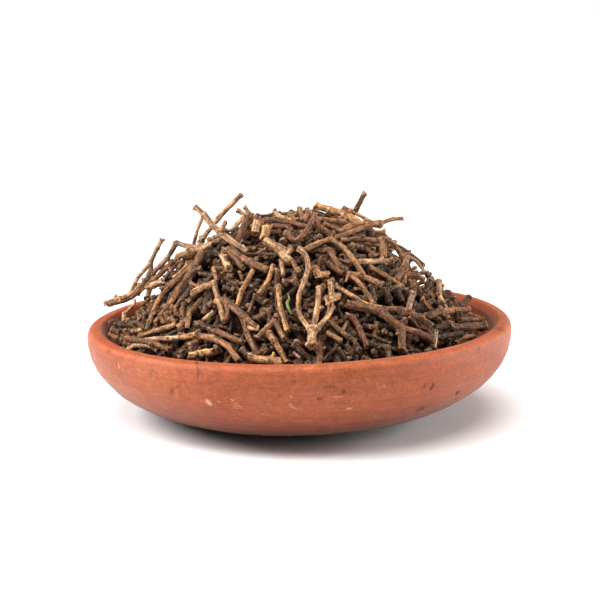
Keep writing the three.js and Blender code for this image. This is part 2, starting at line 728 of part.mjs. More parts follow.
// The widths of a limb along its length, as [radius, part of the length].
function limbProfile({ points, radius, ends }, length) {
  const flares = { k: knobFlare, c: 1, t: taperWidth, n: 1 };
  const necks = (neck * radius) / length;
  const middle = points.length - 1;
  const widths = [[radius * flares[ends[0]], 0]];
  if (ends[0] === "k") widths.push([radius, necks]);
  for (let i = 1; i < middle; i++) {
    if (!straightAt(points, i)) widths.push([radius, i / middle]);
  }
  if (ends[1] === "k") widths.push([radius, 1 - necks]);
  widths.push([radius * flares[ends[1]], 1]);
  return [[0, 0], ...widths, [0, 1]];
}

// A limb as a solid of few sides: a turned rod, carried onto the limb's curve.
function rodSolid(one, sides) {
  const rod = rodOf(one.points);
  const geometry = lathe(limbProfile(one, rod.getLength()), sides);
  const position = geometry.attributes.position;
  const chord = rod.getPoint(1).sub(rod.getPoint(0)).normalize();
  const upright = Math.abs(chord.z) > 0.8 ? new THREE.Vector3(1, 0, 0) : new THREE.Vector3(0, 0, 1);
  for (let i = 0; i < position.count; i++) {
    const along = position.getY(i);
    const tangent = rod.getTangent(along);
    const side = new THREE.Vector3().crossVectors(upright, tangent).normalize();
    const over = new THREE.Vector3().crossVectors(tangent, side);
    const point = rod.getPoint(along);
    point.addScaledVector(side, position.getZ(i)).addScaledVector(over, position.getX(i));
    position.setXYZ(i, point.x, point.y, point.z);
  }
  return solidOf(geometry);
}

const coreSink = 2.2; // how far the core lies under the heap's surface
const coreTop = (x, y) => heapTop(x, y) - coreSink;
const openDepth = 0.4; // what lies this little under others is in the open too
const stemSpacing = 4.6; // between the middles of stems that the solid shows

// The core is turned like the bowl's inside below, and follows the heap's surface above.
function coreSolid() {
  const profile = [[0, floorThickness + wallGap]];
  const underRings = 4;
  for (let i = 1; i <= underRings; i++) {
    const part = (i / underRings) ** 2;
    const up = floorThickness + part * (heapEdge - 4 - floorThickness);
    profile.push([innerRadius(up) - wallGap * 2, up + wallGap]);
  }
  const rim = profile[profile.length - 1];
  for (let i = coreRings; i >= 0; i--) profile.push([(rim[0] * i) / (coreRings + 1), rim[1] + 1]);
  const geometry = lathe(profile, coreSides).applyMatrix4(new THREE.Matrix4().makeRotationX(Math.PI / 2));
  geometry.applyMatrix4(leaning);
  const position = geometry.attributes.position;
  for (let i = 0; i < position.count; i++) {
    const x = position.getX(i);
    const y = position.getY(i);
    const [, up] = intoBowl(x, position.getZ(i));
    if (up > rim[1] + 0.5) position.setZ(i, coreTop(x, y));
  }
  return solidOf(geometry);
}

// How much beads count for in the heap's form: what of them is in the open, and stands clear.
function weightOf(beads) {
  let sum = 0;
  for (const [x, y, z, radius] of beads) {
    const open = z + radius > height[cellOf(x, y)] - openDepth && z > coreTop(x, y);
    if (open) sum += radius * (1 + Math.max(0, z - heapTop(x, y)) / 2);
  }
  return sum;
}

const middleOf = ({ beads }) => scaled(beads.reduce((sum, bead) => sum.map((v, i) => v + bead[i])), 1 / beads.length);

// The stems that the solid shows: the weightiest, spread evenly.
function chosenStems() {
  const ranked = stems.map((stem) => ({ ...stem, weight: weightOf(stem.beads), middle: middleOf(stem) }));
  ranked.sort((a, b) => b.weight - a.weight);
  const chosen = [];
  let count = 0;
  for (const stem of ranked) {
    const apart = ({ middle }) => Math.hypot(middle[0] - stem.middle[0], middle[1] - stem.middle[1]);
    if (count >= limbsInSolid || stem.weight === 0) break;
    if (chosen.some((other) => apart(other) < stemSpacing)) continue;
    const limbs = stem.limbs.filter((one) => weightOf(beadsOf(one)) > 0);
    chosen.push({ ...stem, limbs });
    count += limbs.length;
  }
  return chosen;
}

// A stem that would hang clear of the core stands on a short rod, as on the stems under it.
function propOf({ beads }) {
  let nearest = null;
  for (const [x, y, z, radius] of beads) {
    const under = coreTop(x, y);
    if (nearest === null || z - under < nearest.gap) nearest = { x, y, z, under, radius, gap: z - under };
  }
  if (nearest.gap < nearest.radius - 0.2) return null;
  const { x, y, z, under, radius } = nearest;
  return limb(1.6 * radius, "nn", [x, y, z], [x * 0.97, y * 0.97, under - 3]);
}

function makeHeap() {
  const chosen = chosenStems();
  const pieces = [coreSolid()];
  for (const stem of chosen) {
    for (const one of stem.limbs) pieces.push(rodSolid(one, one.radius < slimRadius ? slimSides : stemSides));
    const prop = propOf(stem);
    if (prop !== null) pieces.push(rodSolid(prop, slimSides));
  }
  const whole = wasm.Manifold.union(pieces).decompose();
  whole.sort((a, b) => b.volume() - a.volume());
  return whole[0].simplify(smallest);
}

// ---------------------------------------------------------------- the whole

const part = new THREE.Group();

const clayMaterial = new THREE.MeshStandardMaterial({ color: 0xc0785a, roughness: 0.85, metalness: 0 });
const bowl = new THREE.Mesh(geometryOf(makeBowl()), clayMaterial);
bowl.name = "bowl";

const stemMaterial = new THREE.MeshStandardMaterial({ color: 0x7a5638, roughness: 0.8, metalness: 0 });
const heap = new THREE.Mesh(geometryOf(makeHeap()), stemMaterial);
heap.name = "stems";

part.add(bowl, heap);
const extent = new THREE.Box3().setFromObject(part);
part.position.set(-(extent.min.x + extent.max.x) / 2, -(extent.min.y + extent.max.y) / 2, 0);

export default part;
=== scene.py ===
"""A shallow bowl of unglazed clay, heaped with dried clove stems, dressed for its looks.

The heap is laid by the same seeded rule as the solid's, in millimetres and in the bowl's own
place, so each stem here lies where the solid has it. Pixels are of a 600 by 600 reference view.
"""

import math

import bpy
import numpy as np
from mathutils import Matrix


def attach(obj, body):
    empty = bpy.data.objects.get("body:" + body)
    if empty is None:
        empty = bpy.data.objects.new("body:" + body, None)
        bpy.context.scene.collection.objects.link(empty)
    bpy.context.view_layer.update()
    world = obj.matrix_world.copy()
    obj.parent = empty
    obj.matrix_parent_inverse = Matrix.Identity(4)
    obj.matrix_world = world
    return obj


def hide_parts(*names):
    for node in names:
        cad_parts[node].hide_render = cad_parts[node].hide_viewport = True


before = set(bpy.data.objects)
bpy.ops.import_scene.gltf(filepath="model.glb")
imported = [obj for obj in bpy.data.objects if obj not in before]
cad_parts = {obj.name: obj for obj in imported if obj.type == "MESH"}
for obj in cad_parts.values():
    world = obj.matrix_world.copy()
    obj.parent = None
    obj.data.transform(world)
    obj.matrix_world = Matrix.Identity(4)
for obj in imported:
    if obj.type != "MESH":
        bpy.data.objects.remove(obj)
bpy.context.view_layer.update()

# ---------------------------------------------------------------- dimensions, in millimetres

BOWL_RADIUS = 65.0
BELLY_HEIGHT = 25.5
LIP_HEIGHT = 29.0
LIP_RADIUS = 61.7
MOUTH_RADIUS = 59.6
MOUTH_HEIGHT = 26.3
FLOOR_THICKNESS = 5.0
LIP_SQUARENESS = 0.72
WALL_FULLNESS = 3.445
WALL_STEEPNESS = 1.862
LEAN = math.radians(1.47)
FOOT_DEPTH = 0.35

HEAP_RADIUS = 57.5
HEAP_OFFSET = -2.0
HEAP_EDGE = 25.3
HEAP_RISE = 37.5
HEAP_SHOULDER = 2.3
HEAP_SLOPE = 1.2
CORE_DEPTH = 9.0
WALL_GAP = 0.35

LEAN_COS = math.cos(LEAN)
LEAN_SIN = math.sin(LEAN)
SHIFT = BELLY_HEIGHT * LEAN_SIN  # from the bowl's axis to the middle of the whole
METRES = 0.001

# ---------------------------------------------------------------- reference view

VIEW_DISTANCE = 700.0
VIEW_TILT = math.radians(11.2)
VIEW_FOCAL = 2280.8  # in pixels
VIEW_MIDDLE = (301.74, 300.0)
VIEW_AIM = 35.1
VIEW_RISE = math.cos(VIEW_TILT)
VIEW_FALL = math.sin(VIEW_TILT)
VIEW_SCALE = VIEW_DISTANCE / VIEW_FOCAL


def point_at(pixel, y):
    """The point that shows at a pixel and lies in the upright plane at depth y."""
    slope = (VIEW_MIDDLE[1] - pixel[1]) / VIEW_FOCAL
    up = (slope * (VIEW_DISTANCE + y * VIEW_RISE) - y * VIEW_FALL) / (VIEW_RISE + slope * VIEW_FALL)
    reach = VIEW_DISTANCE + y * VIEW_RISE - up * VIEW_FALL
    return ((pixel[0] - VIEW_MIDDLE[0]) * reach) / VIEW_FOCAL, y, up + VIEW_AIM


# ---------------------------------------------------------------- chance

ANY_TURN = 6.283  # radians, for a turn drawn at random
LOOKS_SEED = 7

seed = 20611
looks = np.random.RandomState(LOOKS_SEED)  # for what the solids have no part in


def chance():
    """The next of one seeded row of numbers from 0 to 1."""
    global seed
    seed = (seed * 48271) % 2147483647
    return seed / 2147483647


def between(low, high):
    return low + (high - low) * chance()


# ---------------------------------------------------------------- bowl's form


def wall(radius, top, bottom, steps):
    """Half a section of a round wall, as rows of [radius, height], from the axis up."""
    turn = (math.pi / 2) * (np.arange(steps + 1) / steps)
    across = radius * np.sin(turn) ** (2 / WALL_FULLNESS)
    up = top - (top - bottom) * np.abs(np.cos(turn)) ** (2 / WALL_STEEPNESS)
    return np.column_stack([across, up])


def bowl_section(outer, rim, inner):
    """The wall's section, from the axis under the floor to the axis over it."""
    lip = []
    for i in range(1, rim + 1):
        turn = math.pi / 2 * i / rim
        across = LIP_RADIUS + (BOWL_RADIUS - LIP_RADIUS) * math.cos(turn) ** LIP_SQUARENESS
        lip.append([across, BELLY_HEIGHT + (LIP_HEIGHT - BELLY_HEIGHT) * math.sin(turn) ** LIP_SQUARENESS])
    for i in range(1, rim):
        turn = math.pi / 2 * i / rim
        across = LIP_RADIUS - (LIP_RADIUS - MOUTH_RADIUS) * math.sin(turn)
        lip.append([across, MOUTH_HEIGHT + (LIP_HEIGHT - MOUTH_HEIGHT) * math.cos(turn)])
    outside = wall(BOWL_RADIUS, BELLY_HEIGHT, 0, outer)
    inside = wall(MOUTH_RADIUS, MOUTH_HEIGHT, FLOOR_THICKNESS, inner)[::-1]
    return np.vstack([outside, lip, inside])


SOLID_WALL = wall(BOWL_RADIUS, BELLY_HEIGHT, 0, 10)  # in as few steps as the solid has
BOWL_LIFT = -min(SOLID_WALL[:, 1] * LEAN_COS - SOLID_WALL[:, 0] * LEAN_SIN) - FOOT_DEPTH


def into_bowl(x, z):
    """A place across and up, in the leaning bowl's own frame."""
    return x * LEAN_COS + (z - BOWL_LIFT) * LEAN_SIN, (z - BOWL_LIFT) * LEAN_COS - x * LEAN_SIN


def out_of_bowl(x, z):
    return x * LEAN_COS - z * LEAN_SIN, BOWL_LIFT + x * LEAN_SIN + z * LEAN_COS


def wall_radius(up, radius, top, bottom):
    """How far out a round wall is at a height."""
    part = np.clip((up - bottom) / (top - bottom), 0, 1)
    return radius * (1 - (1 - part) ** WALL_STEEPNESS) ** (1 / WALL_FULLNESS)


def inner_radius(up):
    return wall_radius(up, MOUTH_RADIUS, MOUTH_HEIGHT, FLOOR_THICKNESS)


# ---------------------------------------------------------------- heap's form

HEAP_LEAN = math.tan(LEAN)


def heap_top(x, y):
    """The height of the heap's surface, which the uppermost stems lie in."""
    across = (np.hypot(x - HEAP_OFFSET, y) / HEAP_RADIUS) ** HEAP_SHOULDER
    return HEAP_EDGE + x * HEAP_LEAN + HEAP_RISE * np.maximum(0, 1 - across) ** HEAP_SLOPE


def crowding(x, y, z, radius):
    """How far a ball must move to clear the bowl, inwards and upwards, and how far out it is."""
    own, up = into_bowl(x, z)
    over_lip = LIP_HEIGHT + WALL_GAP + radius - up
    reach = np.hypot(own, y)
    room = np.where(over_lip > 0, inner_radius(up - radius * 0.7) - WALL_GAP - radius, BOWL_RADIUS - 2)
    return reach - room, over_lip, reach


# ---------------------------------------------------------------- stems that stand out


def limb(thickness, ends, *points):
    """A bent rod. An end is a knob (k), cut (c), a taper (t), or grows from a node (n)."""
    return {"radius": thickness / 2, "ends": ends, "points": points}


SHOWN_STEMS = {
    "left_spire": [
        limb(1.1, "kn", [162, 239], [156.5, 250], [150.5, 262.5]),
        limb(1.1, "nt", [150.5, 262.5], [138, 278], [128, 294.5], [105, 304]),
        limb(1.5, "nc", [150.5, 262.5], [150.5, 270], [147, 277]),
    ],
    "left_angle": [
        limb(1.7, "nc", [176, 243], [168, 257], [152, 274], [131, 298]),
        limb(1.7, "nc", [176, 243], [190, 246.5], [206, 245.5], [221, 240]),
    ],
    "left_stout": [limb(2.3, "kc", [177, 256], [192, 251.5], [212, 246])],
    "left_chunk": [limb(1.9, "cc", [179, 258], [171, 264], [161, 271])],
    "left_pale_bend": [limb(2.0, "kc", [163, 281], [155, 284], [150, 289], [147, 297])],
    "left_knob": [limb(1.7, "kc", [152, 278], [160, 275])],
    "long_thin": [limb(0.9, "cc", [188, 265], [180, 272], [173, 278])],
    "long_slope": [limb(1.4, "cc", [198, 261], [173, 283], [157, 303], [146.5, 330])],
    "long_second": [
        limb(1.0, "cn", [200, 252], [189, 272], [178, 292]),
        limb(1.7, "nc", [178, 292], [170, 304], [155, 323]),
    ],
    "short_pale": [limb(0.9, "tt", [188, 294], [178, 303])],
    "peeled": [limb(2.4, "cc", [204, 252], [197, 266], [189, 279])],
    "bent_twig": [
        limb(0.9, "cn", [134.5, 300], [134, 304], [125, 313.5]),
        limb(1.6, "nc", [125, 313.5], [124, 321], [126, 329]),
    ],
    "wall_knob": [limb(1.5, "kc", [107.5, 323], [114, 321], [123, 325])],
    "wall_stub": [limb(1.6, "kc", [110, 335], [119, 340])],
    "pale_knob": [limb(1.9, "kc", [134, 331], [144, 330])],
    "light_long": [limb(1.5, "kc", [140, 336], [155, 331], [176, 324])],
    "pale_fork": [
        limb(1.6, "tn", [190, 309], [188.5, 318]),
        limb(1.6, "nc", [188.5, 318], [178, 327.5]),
        limb(1.4, "nc", [188.5, 318], [187, 328]),
    ],
    "front_left_upper": [limb(1.5, "cc", [146, 340], [166, 338.5], [186, 337])],
    "front_left_lower": [limb(1.9, "kc", [123, 338], [144, 341], [156, 345], [170, 350])],
    "front_left_pale": [limb(1.6, "cc", [128, 349], [136, 345.5], [148, 346], [158, 350.5])],
    "front_arch": [
        limb(2.2, "cn", [183, 337], [197, 335.5], [213, 338.5]),
        limb(2.2, "nc", [213, 338.5], [228, 346.5], [239, 362]),
    ],
    "cut_stub": [limb(2.6, "cc", [189, 356], [200, 354], [214, 352])],
    "facing_stub": [limb(2.1, "kc", [189.5, 344], [200, 340])],
    "spire": [
        limb(1.2, "kn", [241, 195], [229, 207], [217.5, 219.5]),
        limb(1.5, "nc", [217.5, 219.5], [209, 230], [199, 243]),
    ],
    "spire_fork": [
        limb(2.0, "kn", [195, 207], [204, 214.5]),
        limb(2.2, "nc", [204, 214.5], [214, 227], [231, 240.5], [247, 252]),
        limb(1.1, "nc", [204, 214.5], [198, 228], [193.5, 244]),
    ],
    "spire_stub": [limb(1.5, "cc", [225.5, 222], [216.5, 239])],
    "dark_node": [
        limb(2.2, "kn", [223, 251], [231, 250.5]),
        limb(2.5, "nc", [231, 250.5], [246, 260], [268, 270.5]),
        limb(1.8, "nc", [231, 254], [243, 268]),
    ],
    "facing_knob": [limb(2.2, "kc", [229.5, 267], [222, 257])],
    "small_elbow": [
        limb(1.0, "cn", [223, 268], [213.5, 268.5]),
        limb(1.2, "nc", [213.5, 268.5], [216.5, 281]),
    ],
    "two_hole_stout": [limb(2.9, "kc", [251, 217], [243, 229], [238.5, 243])],
    "top_left_knobs": [
        limb(1.4, "kc", [237, 210], [250, 217]),
        limb(1.4, "kc", [244.5, 207], [252, 217]),
        limb(1.4, "cc", [244, 216], [231, 231]),
    ],
    "wide_wedge": [limb(2.6, "cc", [257, 221], [255, 234])],
    "pale_cut": [limb(3.1, "cc", [267, 226], [264, 239])],
    "double_end": [
        limb(2.6, "cn", [266, 241], [279, 248.5]),
        limb(2.4, "nk", [279, 248.5], [290, 252]),
        limb(2.7, "nc", [279, 250], [290, 262]),
    ],
    "thin_bar": [limb(0.8, "cc", [245, 254], [277, 254.5])],
    "top_long": [limb(1.5, "cc", [259, 221], [283, 221], [309, 227])],
    "top_bar": [limb(1.5, "kc", [274, 211], [281, 217], [299, 220])],
    "top_knobs": [
        limb(1.5, "kc", [299.5, 208], [303, 220]),
        limb(1.8, "kc", [308, 212], [303, 221]),
        limb(1.3, "kc", [290, 214.5], [297, 221]),
    ],
    "arch": [
        limb(1.7, "cn", [288, 234], [295, 240.5], [306, 231.5], [314, 216]),
        limb(1.4, "nc", [314, 214], [318, 226], [332, 236.5]),
    ],
    "top_stout": [
        limb(2.4, "kn", [315, 205], [329, 210]),
        limb(2.6, "nc", [329, 210], [345, 214], [357, 222]),
    ],
    "top_under": [limb(1.6, "cc", [319, 219], [337, 221], [357, 222.5])],
    "top_spike": [limb(1.4, "cc", [365, 193], [360, 202], [354, 214])],
    "top_slope": [limb(1.2, "kc", [342.5, 207], [357, 214], [371, 221.5])],
    "right_tip": [
        limb(1.3, "tn", [402.5, 218.5], [392, 219.5], [379, 224]),
        limb(2.7, "nn", [380, 224], [366, 224]),
        limb(1.5, "nc", [366, 222.5], [352, 225], [338, 231]),
        limb(1.8, "nc", [366, 226], [352, 231], [334, 238]),
    ],
    "right_knob": [limb(1.4, "kc", [385.5, 230], [376, 233])],
    "right_dark_bar": [limb(1.6, "cc", [341, 240], [360, 239], [379, 241])],
    "mushroom": [
        limb(2.2, "kc", [383, 239], [383.5, 248], [384, 258]),
        limb(1.6, "nc", [387, 239], [395, 245], [403, 260], [403, 268]),
    ],
    "saddle": [
        limb(1.8, "nc", [331, 239], [318, 243.5], [303, 250.5]),
        limb(1.9, "nc", [331, 240], [343, 247.5], [354, 260], [363, 275]),
    ],
    "saddle_under": [
        limb(1.6, "kc", [327.5, 249], [333, 256], [340, 269]),
        limb(1.6, "kc", [327.5, 263], [334, 268], [342, 273]),
    ],
    "angular_chunk": [limb(2.0, "kc", [352, 246], [361, 247])],
    "pale_bar": [limb(1.7, "ck", [357, 262], [374, 261], [392, 260.5])],
    "right_upright": [limb(2.1, "kc", [407, 253], [405, 266], [396, 281])],
    "right_hook": [limb(0.95, "ck", [409, 257], [417, 262], [425, 273])],
    "right_tee": [
        limb(2.3, "cn", [402, 274], [418, 276]),
        limb(1.1, "nk", [418, 276], [424, 279]),
        limb(1.7, "nc", [404, 273], [404.5, 285]),
    ],
    "right_dark_post": [limb(1.8, "kc", [430, 280], [425, 292])],
    "right_pale_post": [
        limb(1.9, "kn", [439, 280], [439, 295]),
        limb(1.3, "nc", [439, 295], [446, 308]),
    ],
    "right_back_knobs": [
        limb(1.7, "kc", [449, 292.5], [443, 296]),
        limb(1.6, "kc", [453, 297.5], [445, 296]),
    ],
    "right_lip_stem": [limb(2.0, "kc", [469.5, 297], [457, 309])],
    "right_pale_run": [limb(1.5, "kc", [335, 286], [350, 294.5], [365, 304], [382, 308])],
    "big_fork": [
        limb(2.8, "cn", [347, 304], [364, 308], [382, 312.5]),
        limb(2.1, "nk", [382, 310], [400, 309.5], [416, 315.5], [431, 326]),
        limb(2.7, "nk", [382, 314], [402, 327.5], [418, 333], [432, 340]),
        limb(2.6, "nk", [402, 330], [402, 341], [401.5, 351]),
    ],
    "middle_wishbone": [
        limb(1.9, "nk", [348, 274.5], [362, 276], [382, 284.5]),
        limb(1.5, "nc", [349, 274], [360, 284], [374, 304]),
        limb(1.3, "nt", [348, 274], [346, 281]),
    ],
    "long_diagonal": [limb(1.4, "cc", [369, 266], [386, 276], [403, 287])],
    "knob_row": [
        limb(1.9, "kc", [372, 286], [374, 300]),
        limb(1.8, "kc", [385, 287.5], [390, 300]),
        limb(2.0, "kc", [396, 287], [402, 300]),
        limb(2.0, "kc", [405, 289], [409, 298]),
    ],
    "grey_post": [limb(2.1, "kc", [413, 293], [408, 310])],
    "ringed_twig": [limb(1.4, "kc", [422, 299], [431, 310])],
    "reddish_bend": [
        limb(1.5, "kn", [346, 315], [352, 317]),
        limb(1.7, "nc", [352, 317], [358, 326], [367, 347]),
    ],
    "front_right_rod": [limb(1.6, "ck", [330, 321], [342, 332], [356, 342])],
    "front_right_stub": [limb(1.4, "ck", [327, 332.5], [341, 341])],
    "dull_twig": [limb(1.1, "cc", [337, 347], [323, 360.5])],
    "front_knobs": [
        limb(1.9, "kc", [352, 353], [346, 345]),
        limb(1.7, "kc", [359, 351], [356, 344]),
    ],
    "peeled_sliver": [limb(1.6, "tc", [347, 322], [342, 331])],
    "white_sliver": [limb(0.9, "kc", [436.5, 331], [434.5, 348])],
    "wall_stout": [limb(2.6, "cc", [426, 316.5], [440, 312.5], [453, 310.5])],
    "wall_grey": [limb(1.9, "ck", [454, 310], [468, 309.5])],
    "wall_thread": [limb(0.8, "cc", [468, 313], [483, 319]), limb(1.5, "ck", [460, 320], [482, 319])],
    "ringed_dark": [limb(2.1, "ck", [436, 327.5], [450, 325])],
    "wall_big": [limb(2.8, "ck", [452, 328.5], [470, 327], [489, 326.5])],
    "wall_low_dark": [limb(1.8, "cc", [437, 337.5], [462, 333])],
    "wall_low": [limb(2.0, "cc", [456, 343], [464, 338], [475, 335.5])],
    "trident": [
        limb(3.0, "kn", [311.5, 344], [312.5, 329]),
        limb(2.0, "nn", [309, 329], [300, 315], [298.5, 299], [304, 281]),
        limb(2.1, "nk", [304, 281], [308, 267], [306, 256], [299, 249]),
        limb(1.8, "nk", [314, 327], [317, 308], [319, 288]),
        limb(1.9, "nk", [317, 329], [329, 314], [331, 298], [330.5, 280]),
    ],
    "facing_ring": [limb(2.7, "kc", [328, 298], [338, 297])],
    "seven": [
        limb(2.1, "cn", [192, 293], [203, 286.5], [214, 283.5]),
        limb(1.7, "nc", [214, 283.5], [218, 299], [224, 321]),
    ],
    "crossing": [
        limb(2.5, "cn", [223, 298], [232, 306], [244, 317]),
        limb(2.3, "nc", [244, 317], [257, 328]),
        limb(1.9, "nc", [243, 318], [247.5, 335], [258, 355]),
        limb(1.5, "nc", [224, 299], [227.5, 309], [226, 321]),
    ],
    "orange_rod": [
        limb(1.6, "cn", [253, 270], [241.5, 291.5]),
        limb(1.4, "nc", [241.5, 291.5], [237, 306]),
    ],
    "middle_rod": [limb(1.8, "kc", [273, 266], [268, 280], [259, 294])],
    "ring_twig": [limb(0.9, "kc", [255.5, 295], [248, 313])],
    "holed_rod": [limb(2.2, "kc", [278.5, 286], [280.5, 308], [287, 331])],
    "low_brown": [limb(1.9, "kc", [215, 331], [243, 342.5])],
    "bottom_pale": [limb(2.7, "kc", [250, 358], [264, 360], [282, 362])],
    "low_rod": [limb(2.3, "kn", [269, 334], [275, 342]), limb(1.7, "nc", [275, 342], [287, 363])],
    "low_bend": [
        limb(1.5, "nk", [274, 321], [266, 329], [257, 338]),
        limb(1.7, "nc", [274, 321], [284, 339]),
    ],
    "small_node": [limb(1.6, "kc", [199.5, 323], [213.5, 331])],
    "pale_sliver": [limb(1.0, "cc", [213, 312], [203, 320])],
    "broad_dark": [limb(2.8, "cc", [212, 289], [208, 302], [205, 314])],
    "tan_ring": [limb(1.7, "kc", [202, 300], [191, 311])],
    "short_pale_rod": [limb(1.5, "ck", [248, 328], [259, 328.5])],
    "cut_piece": [limb(2.1, "cc", [316, 275], [328, 274])],
    "red_knob": [limb(2.2, "kc", [314.5, 268], [318, 275])],
    "cream_tip": [limb(1.4, "ck", [293, 262], [298.5, 272])],
    "upright_pale": [limb(1.3, "cc", [281, 260], [283, 276])],
}

KNOB_FLARE = 1.4  # a knob's width by its stem's
BEAD_STEP = 1.3
NEST = 0.8  # how deep the shown stems lie in the heap's surface
LEAN_BACK = 0.7  # how fast a shown stem may run back from its nearest point


def along_rod(points, parts):
    """Points on the smooth curve through a limb's points, at parts of its length from 0 to 1."""
    points = np.asarray(points, float)
    before = 2 * points[0] - points[1]
    after = 2 * points[-1] - points[-2]
    padded = np.vstack([before, points, after])
    place = np.asarray(parts, float) * (len(points) - 1)
    index = np.minimum(np.floor(place).astype(int), len(points) - 2)
    weight = (place - index)[:, None]
    p0, p1, p2, p3 = (padded[index + step] for step in range(4))
    t0 = 0.5 * (p2 - p0)
    t1 = 0.5 * (p3 - p1)
    c2 = -3 * p1 + 3 * p2 - 2 * t0 - t1
    c3 = 2 * p1 - 2 * p2 + t0 + t1
    return p1 + t0 * weight + c2 * weight**2 + c3 * weight**3


def beads_of(one):
    """Balls strung along a limb, by which it is laid, as rows of x, y, z, radius."""
    points = np.asarray(one["points"], float)
    length = np.sum(np.sqrt(np.sum(np.diff(points, axis=0) ** 2, axis=1)))
    count = math.ceil(length / BEAD_STEP)
    middles = along_rod(points, np.arange(count + 1) / count)
    return np.column_stack([middles, np.full(count + 1, one["radius"])])


def beads_of_all(limbs):
    return np.vstack([beads_of(one) for one in limbs])


SIGHT_DEPTHS = np.arange(-56, 30.25, 0.5)


def depth_at(pixel):
    """The depth at which a pixel's line of sight first meets the heap, or passes nearest over it."""
    x, y, z = point_at(pixel, SIGHT_DEPTHS)
    gap = z - heap_top(x, y) + NEST
    gap[np.hypot(x, y) > HEAP_RADIUS - 1] = np.inf
    if np.all(np.isinf(gap)):
        return 0.0
    meets = np.flatnonzero(gap <= 0)
    return SIGHT_DEPTHS[meets[0] if len(meets) else np.argmin(gap)]


def place_shown(limbs):
    """The limbs of a stem given in pixels, placed on the heap."""
    pixels = [pixel for one in limbs for pixel in one["points"]]
    depths = [depth_at(pixel) for pixel in pixels]
    front_depth = min(depths)
    front = pixels[depths.index(front_depth)]
    placed = []
    for one in limbs:
        points = []
        for pixel in one["points"]:
            apart = VIEW_SCALE * math.hypot(pixel[0] - front[0], pixel[1] - front[1])
            x, y, z = point_at(pixel, min(depth_at(pixel), front_depth + LEAN_BACK * apart))
            inwards, upwards, reach = crowding(x, y, z, one["radius"] * KNOB_FLARE)
            if inwards <= 0:
                points.append([x, y, z])
            elif 0 < upwards < inwards:
                points.append([x, y, z + upwards])
            else:
                points.append([x * (1 - inwards / reach), y * (1 - inwards / reach), z])
        placed.append({**one, "points": points})
    return placed


# The loose stems' kinds, each up to where the next begins.
STALKS_TO = 0.4
FORKS_TO = 0.62
CROOKS_TO = 0.72
TWIGS_TO = 0.9
THREE_LIMBS = 0.35  # the share of forks that have a third limb


def loose_stem():
    """A loose stem's limbs about its own middle, lying along X, and its kind."""
    draw = chance()
    bend = between(-0.09, 0.09)
    sag = between(-0.05, 0.05)
    if draw < STALKS_TO:
        half = between(6, 12.5)
        radius = between(0.95, 1.45)
        middle = [-half / 3, bend * half * 2, sag * half]
        return "stalks", [limb(2 * radius, "kc", [-half, 0, 0], middle, [half, 0, 0])]
    if draw < FORKS_TO:
        stub = between(4, 9)
        radius = between(1.15, 1.6)
        spread = between(0.3, 0.65)
        roll = between(-0.7, 0.7)
        limbs = [limb(2 * radius, "kn", [-stub, 0, 0], [0, 0, 0])]
        for side in (-1, 0, 1) if chance() < THREE_LIMBS else (-1, 1):
            reach = between(8, 15)
            wide = side * math.sin(spread) * reach
            far = reach * math.cos(side * spread)
            half = [far * 0.45, wide * 0.6 * math.cos(roll), wide * 0.6 * math.sin(roll)]
            tip = [far, wide * math.cos(roll), wide * math.sin(roll)]
            limbs.append(limb(1.35 * radius, "nk" if side < 0 else "nc", [0, 0, 0], half, tip))
        return "forks", limbs
    if draw < CROOKS_TO:
        half = between(5, 9)
        radius = between(0.8, 1.3)
        turn = between(0.7, 1.2)
        tip = [half * math.cos(turn), half * math.sin(turn), bend * half]
        first = limb(2 * radius, "cn", [-half, 0, 0], [-half / 2, bend * half, 0], [0, 0, 0])
        return "crooks", [first, limb(1.8 * radius, "nk", [0, 0, 0], tip)]
    if draw < TWIGS_TO:
        half = between(5, 10)
        radius = between(0.5, 0.75)
        middle = [half / 4, bend * half * 3, sag * half]
        return "twigs", [limb(2 * radius, "kt", [-half, 0, 0], middle, [half, 0, 0])]
    half = between(2, 4)
    radius = between(1.1, 1.7)
    return "stubs", [limb(2 * radius, "kc", [-half, 0, 0], [half, 0, 0])]


# ---------------------------------------------------------------- laying the heap

FIELD_HALF = 60
FIELD_CELL = 0.8
FIELD_COUNT = int((2 * FIELD_HALF) / FIELD_CELL + 0.5) + 1  # cells along a side
LAID_REACH = FIELD_HALF - 2
DROP_REACH = HEAP_RADIUS - 2
PLANT_REACH = HEAP_RADIUS - 1
LAYINGS = 2  # a stem is laid level first, then with the slope that it found
SETTLE = 0.8  # how much of its radius a stem rests above what is under it
SPILL = 0.5  # how far a stem may stick out of the heap's surface
OVERLAP = 0.5  # how far it may reach up into a shown one
WALL_ROOM = 1.3  # how much room it needs from the wall, in radii
STEEPEST = 1.4
SLOPE_STEPS = 28
SLOPES = STEEPEST * ((2 * np.arange(SLOPE_STEPS + 1)) / SLOPE_STEPS - 1)
WHOLE_COUNT = 460
BROKEN_COUNT = 420
BROKEN_SIZE = 0.55
PLANTED_COUNT = 700
TRIES_PER_STEM = 9
GAP_DEPTH = 3.2  # the shallowest gap that gets a stub

field_places = np.arange(FIELD_COUNT) * FIELD_CELL - FIELD_HALF
# the heights of what has been laid, and of the undersides of the shown stems, cell by cell
height = (heap_top(field_places[None, :], field_places[:, None]) - CORE_DEPTH).ravel()
ceiling = np.full(FIELD_COUNT * FIELD_COUNT, np.inf)


def cell_of(x, y):
    column = np.floor((x + FIELD_HALF) / FIELD_CELL + 0.5).astype(int)
    row = np.floor((y + FIELD_HALF) / FIELD_CELL + 0.5).astype(int)
    return row * FIELD_COUNT + column


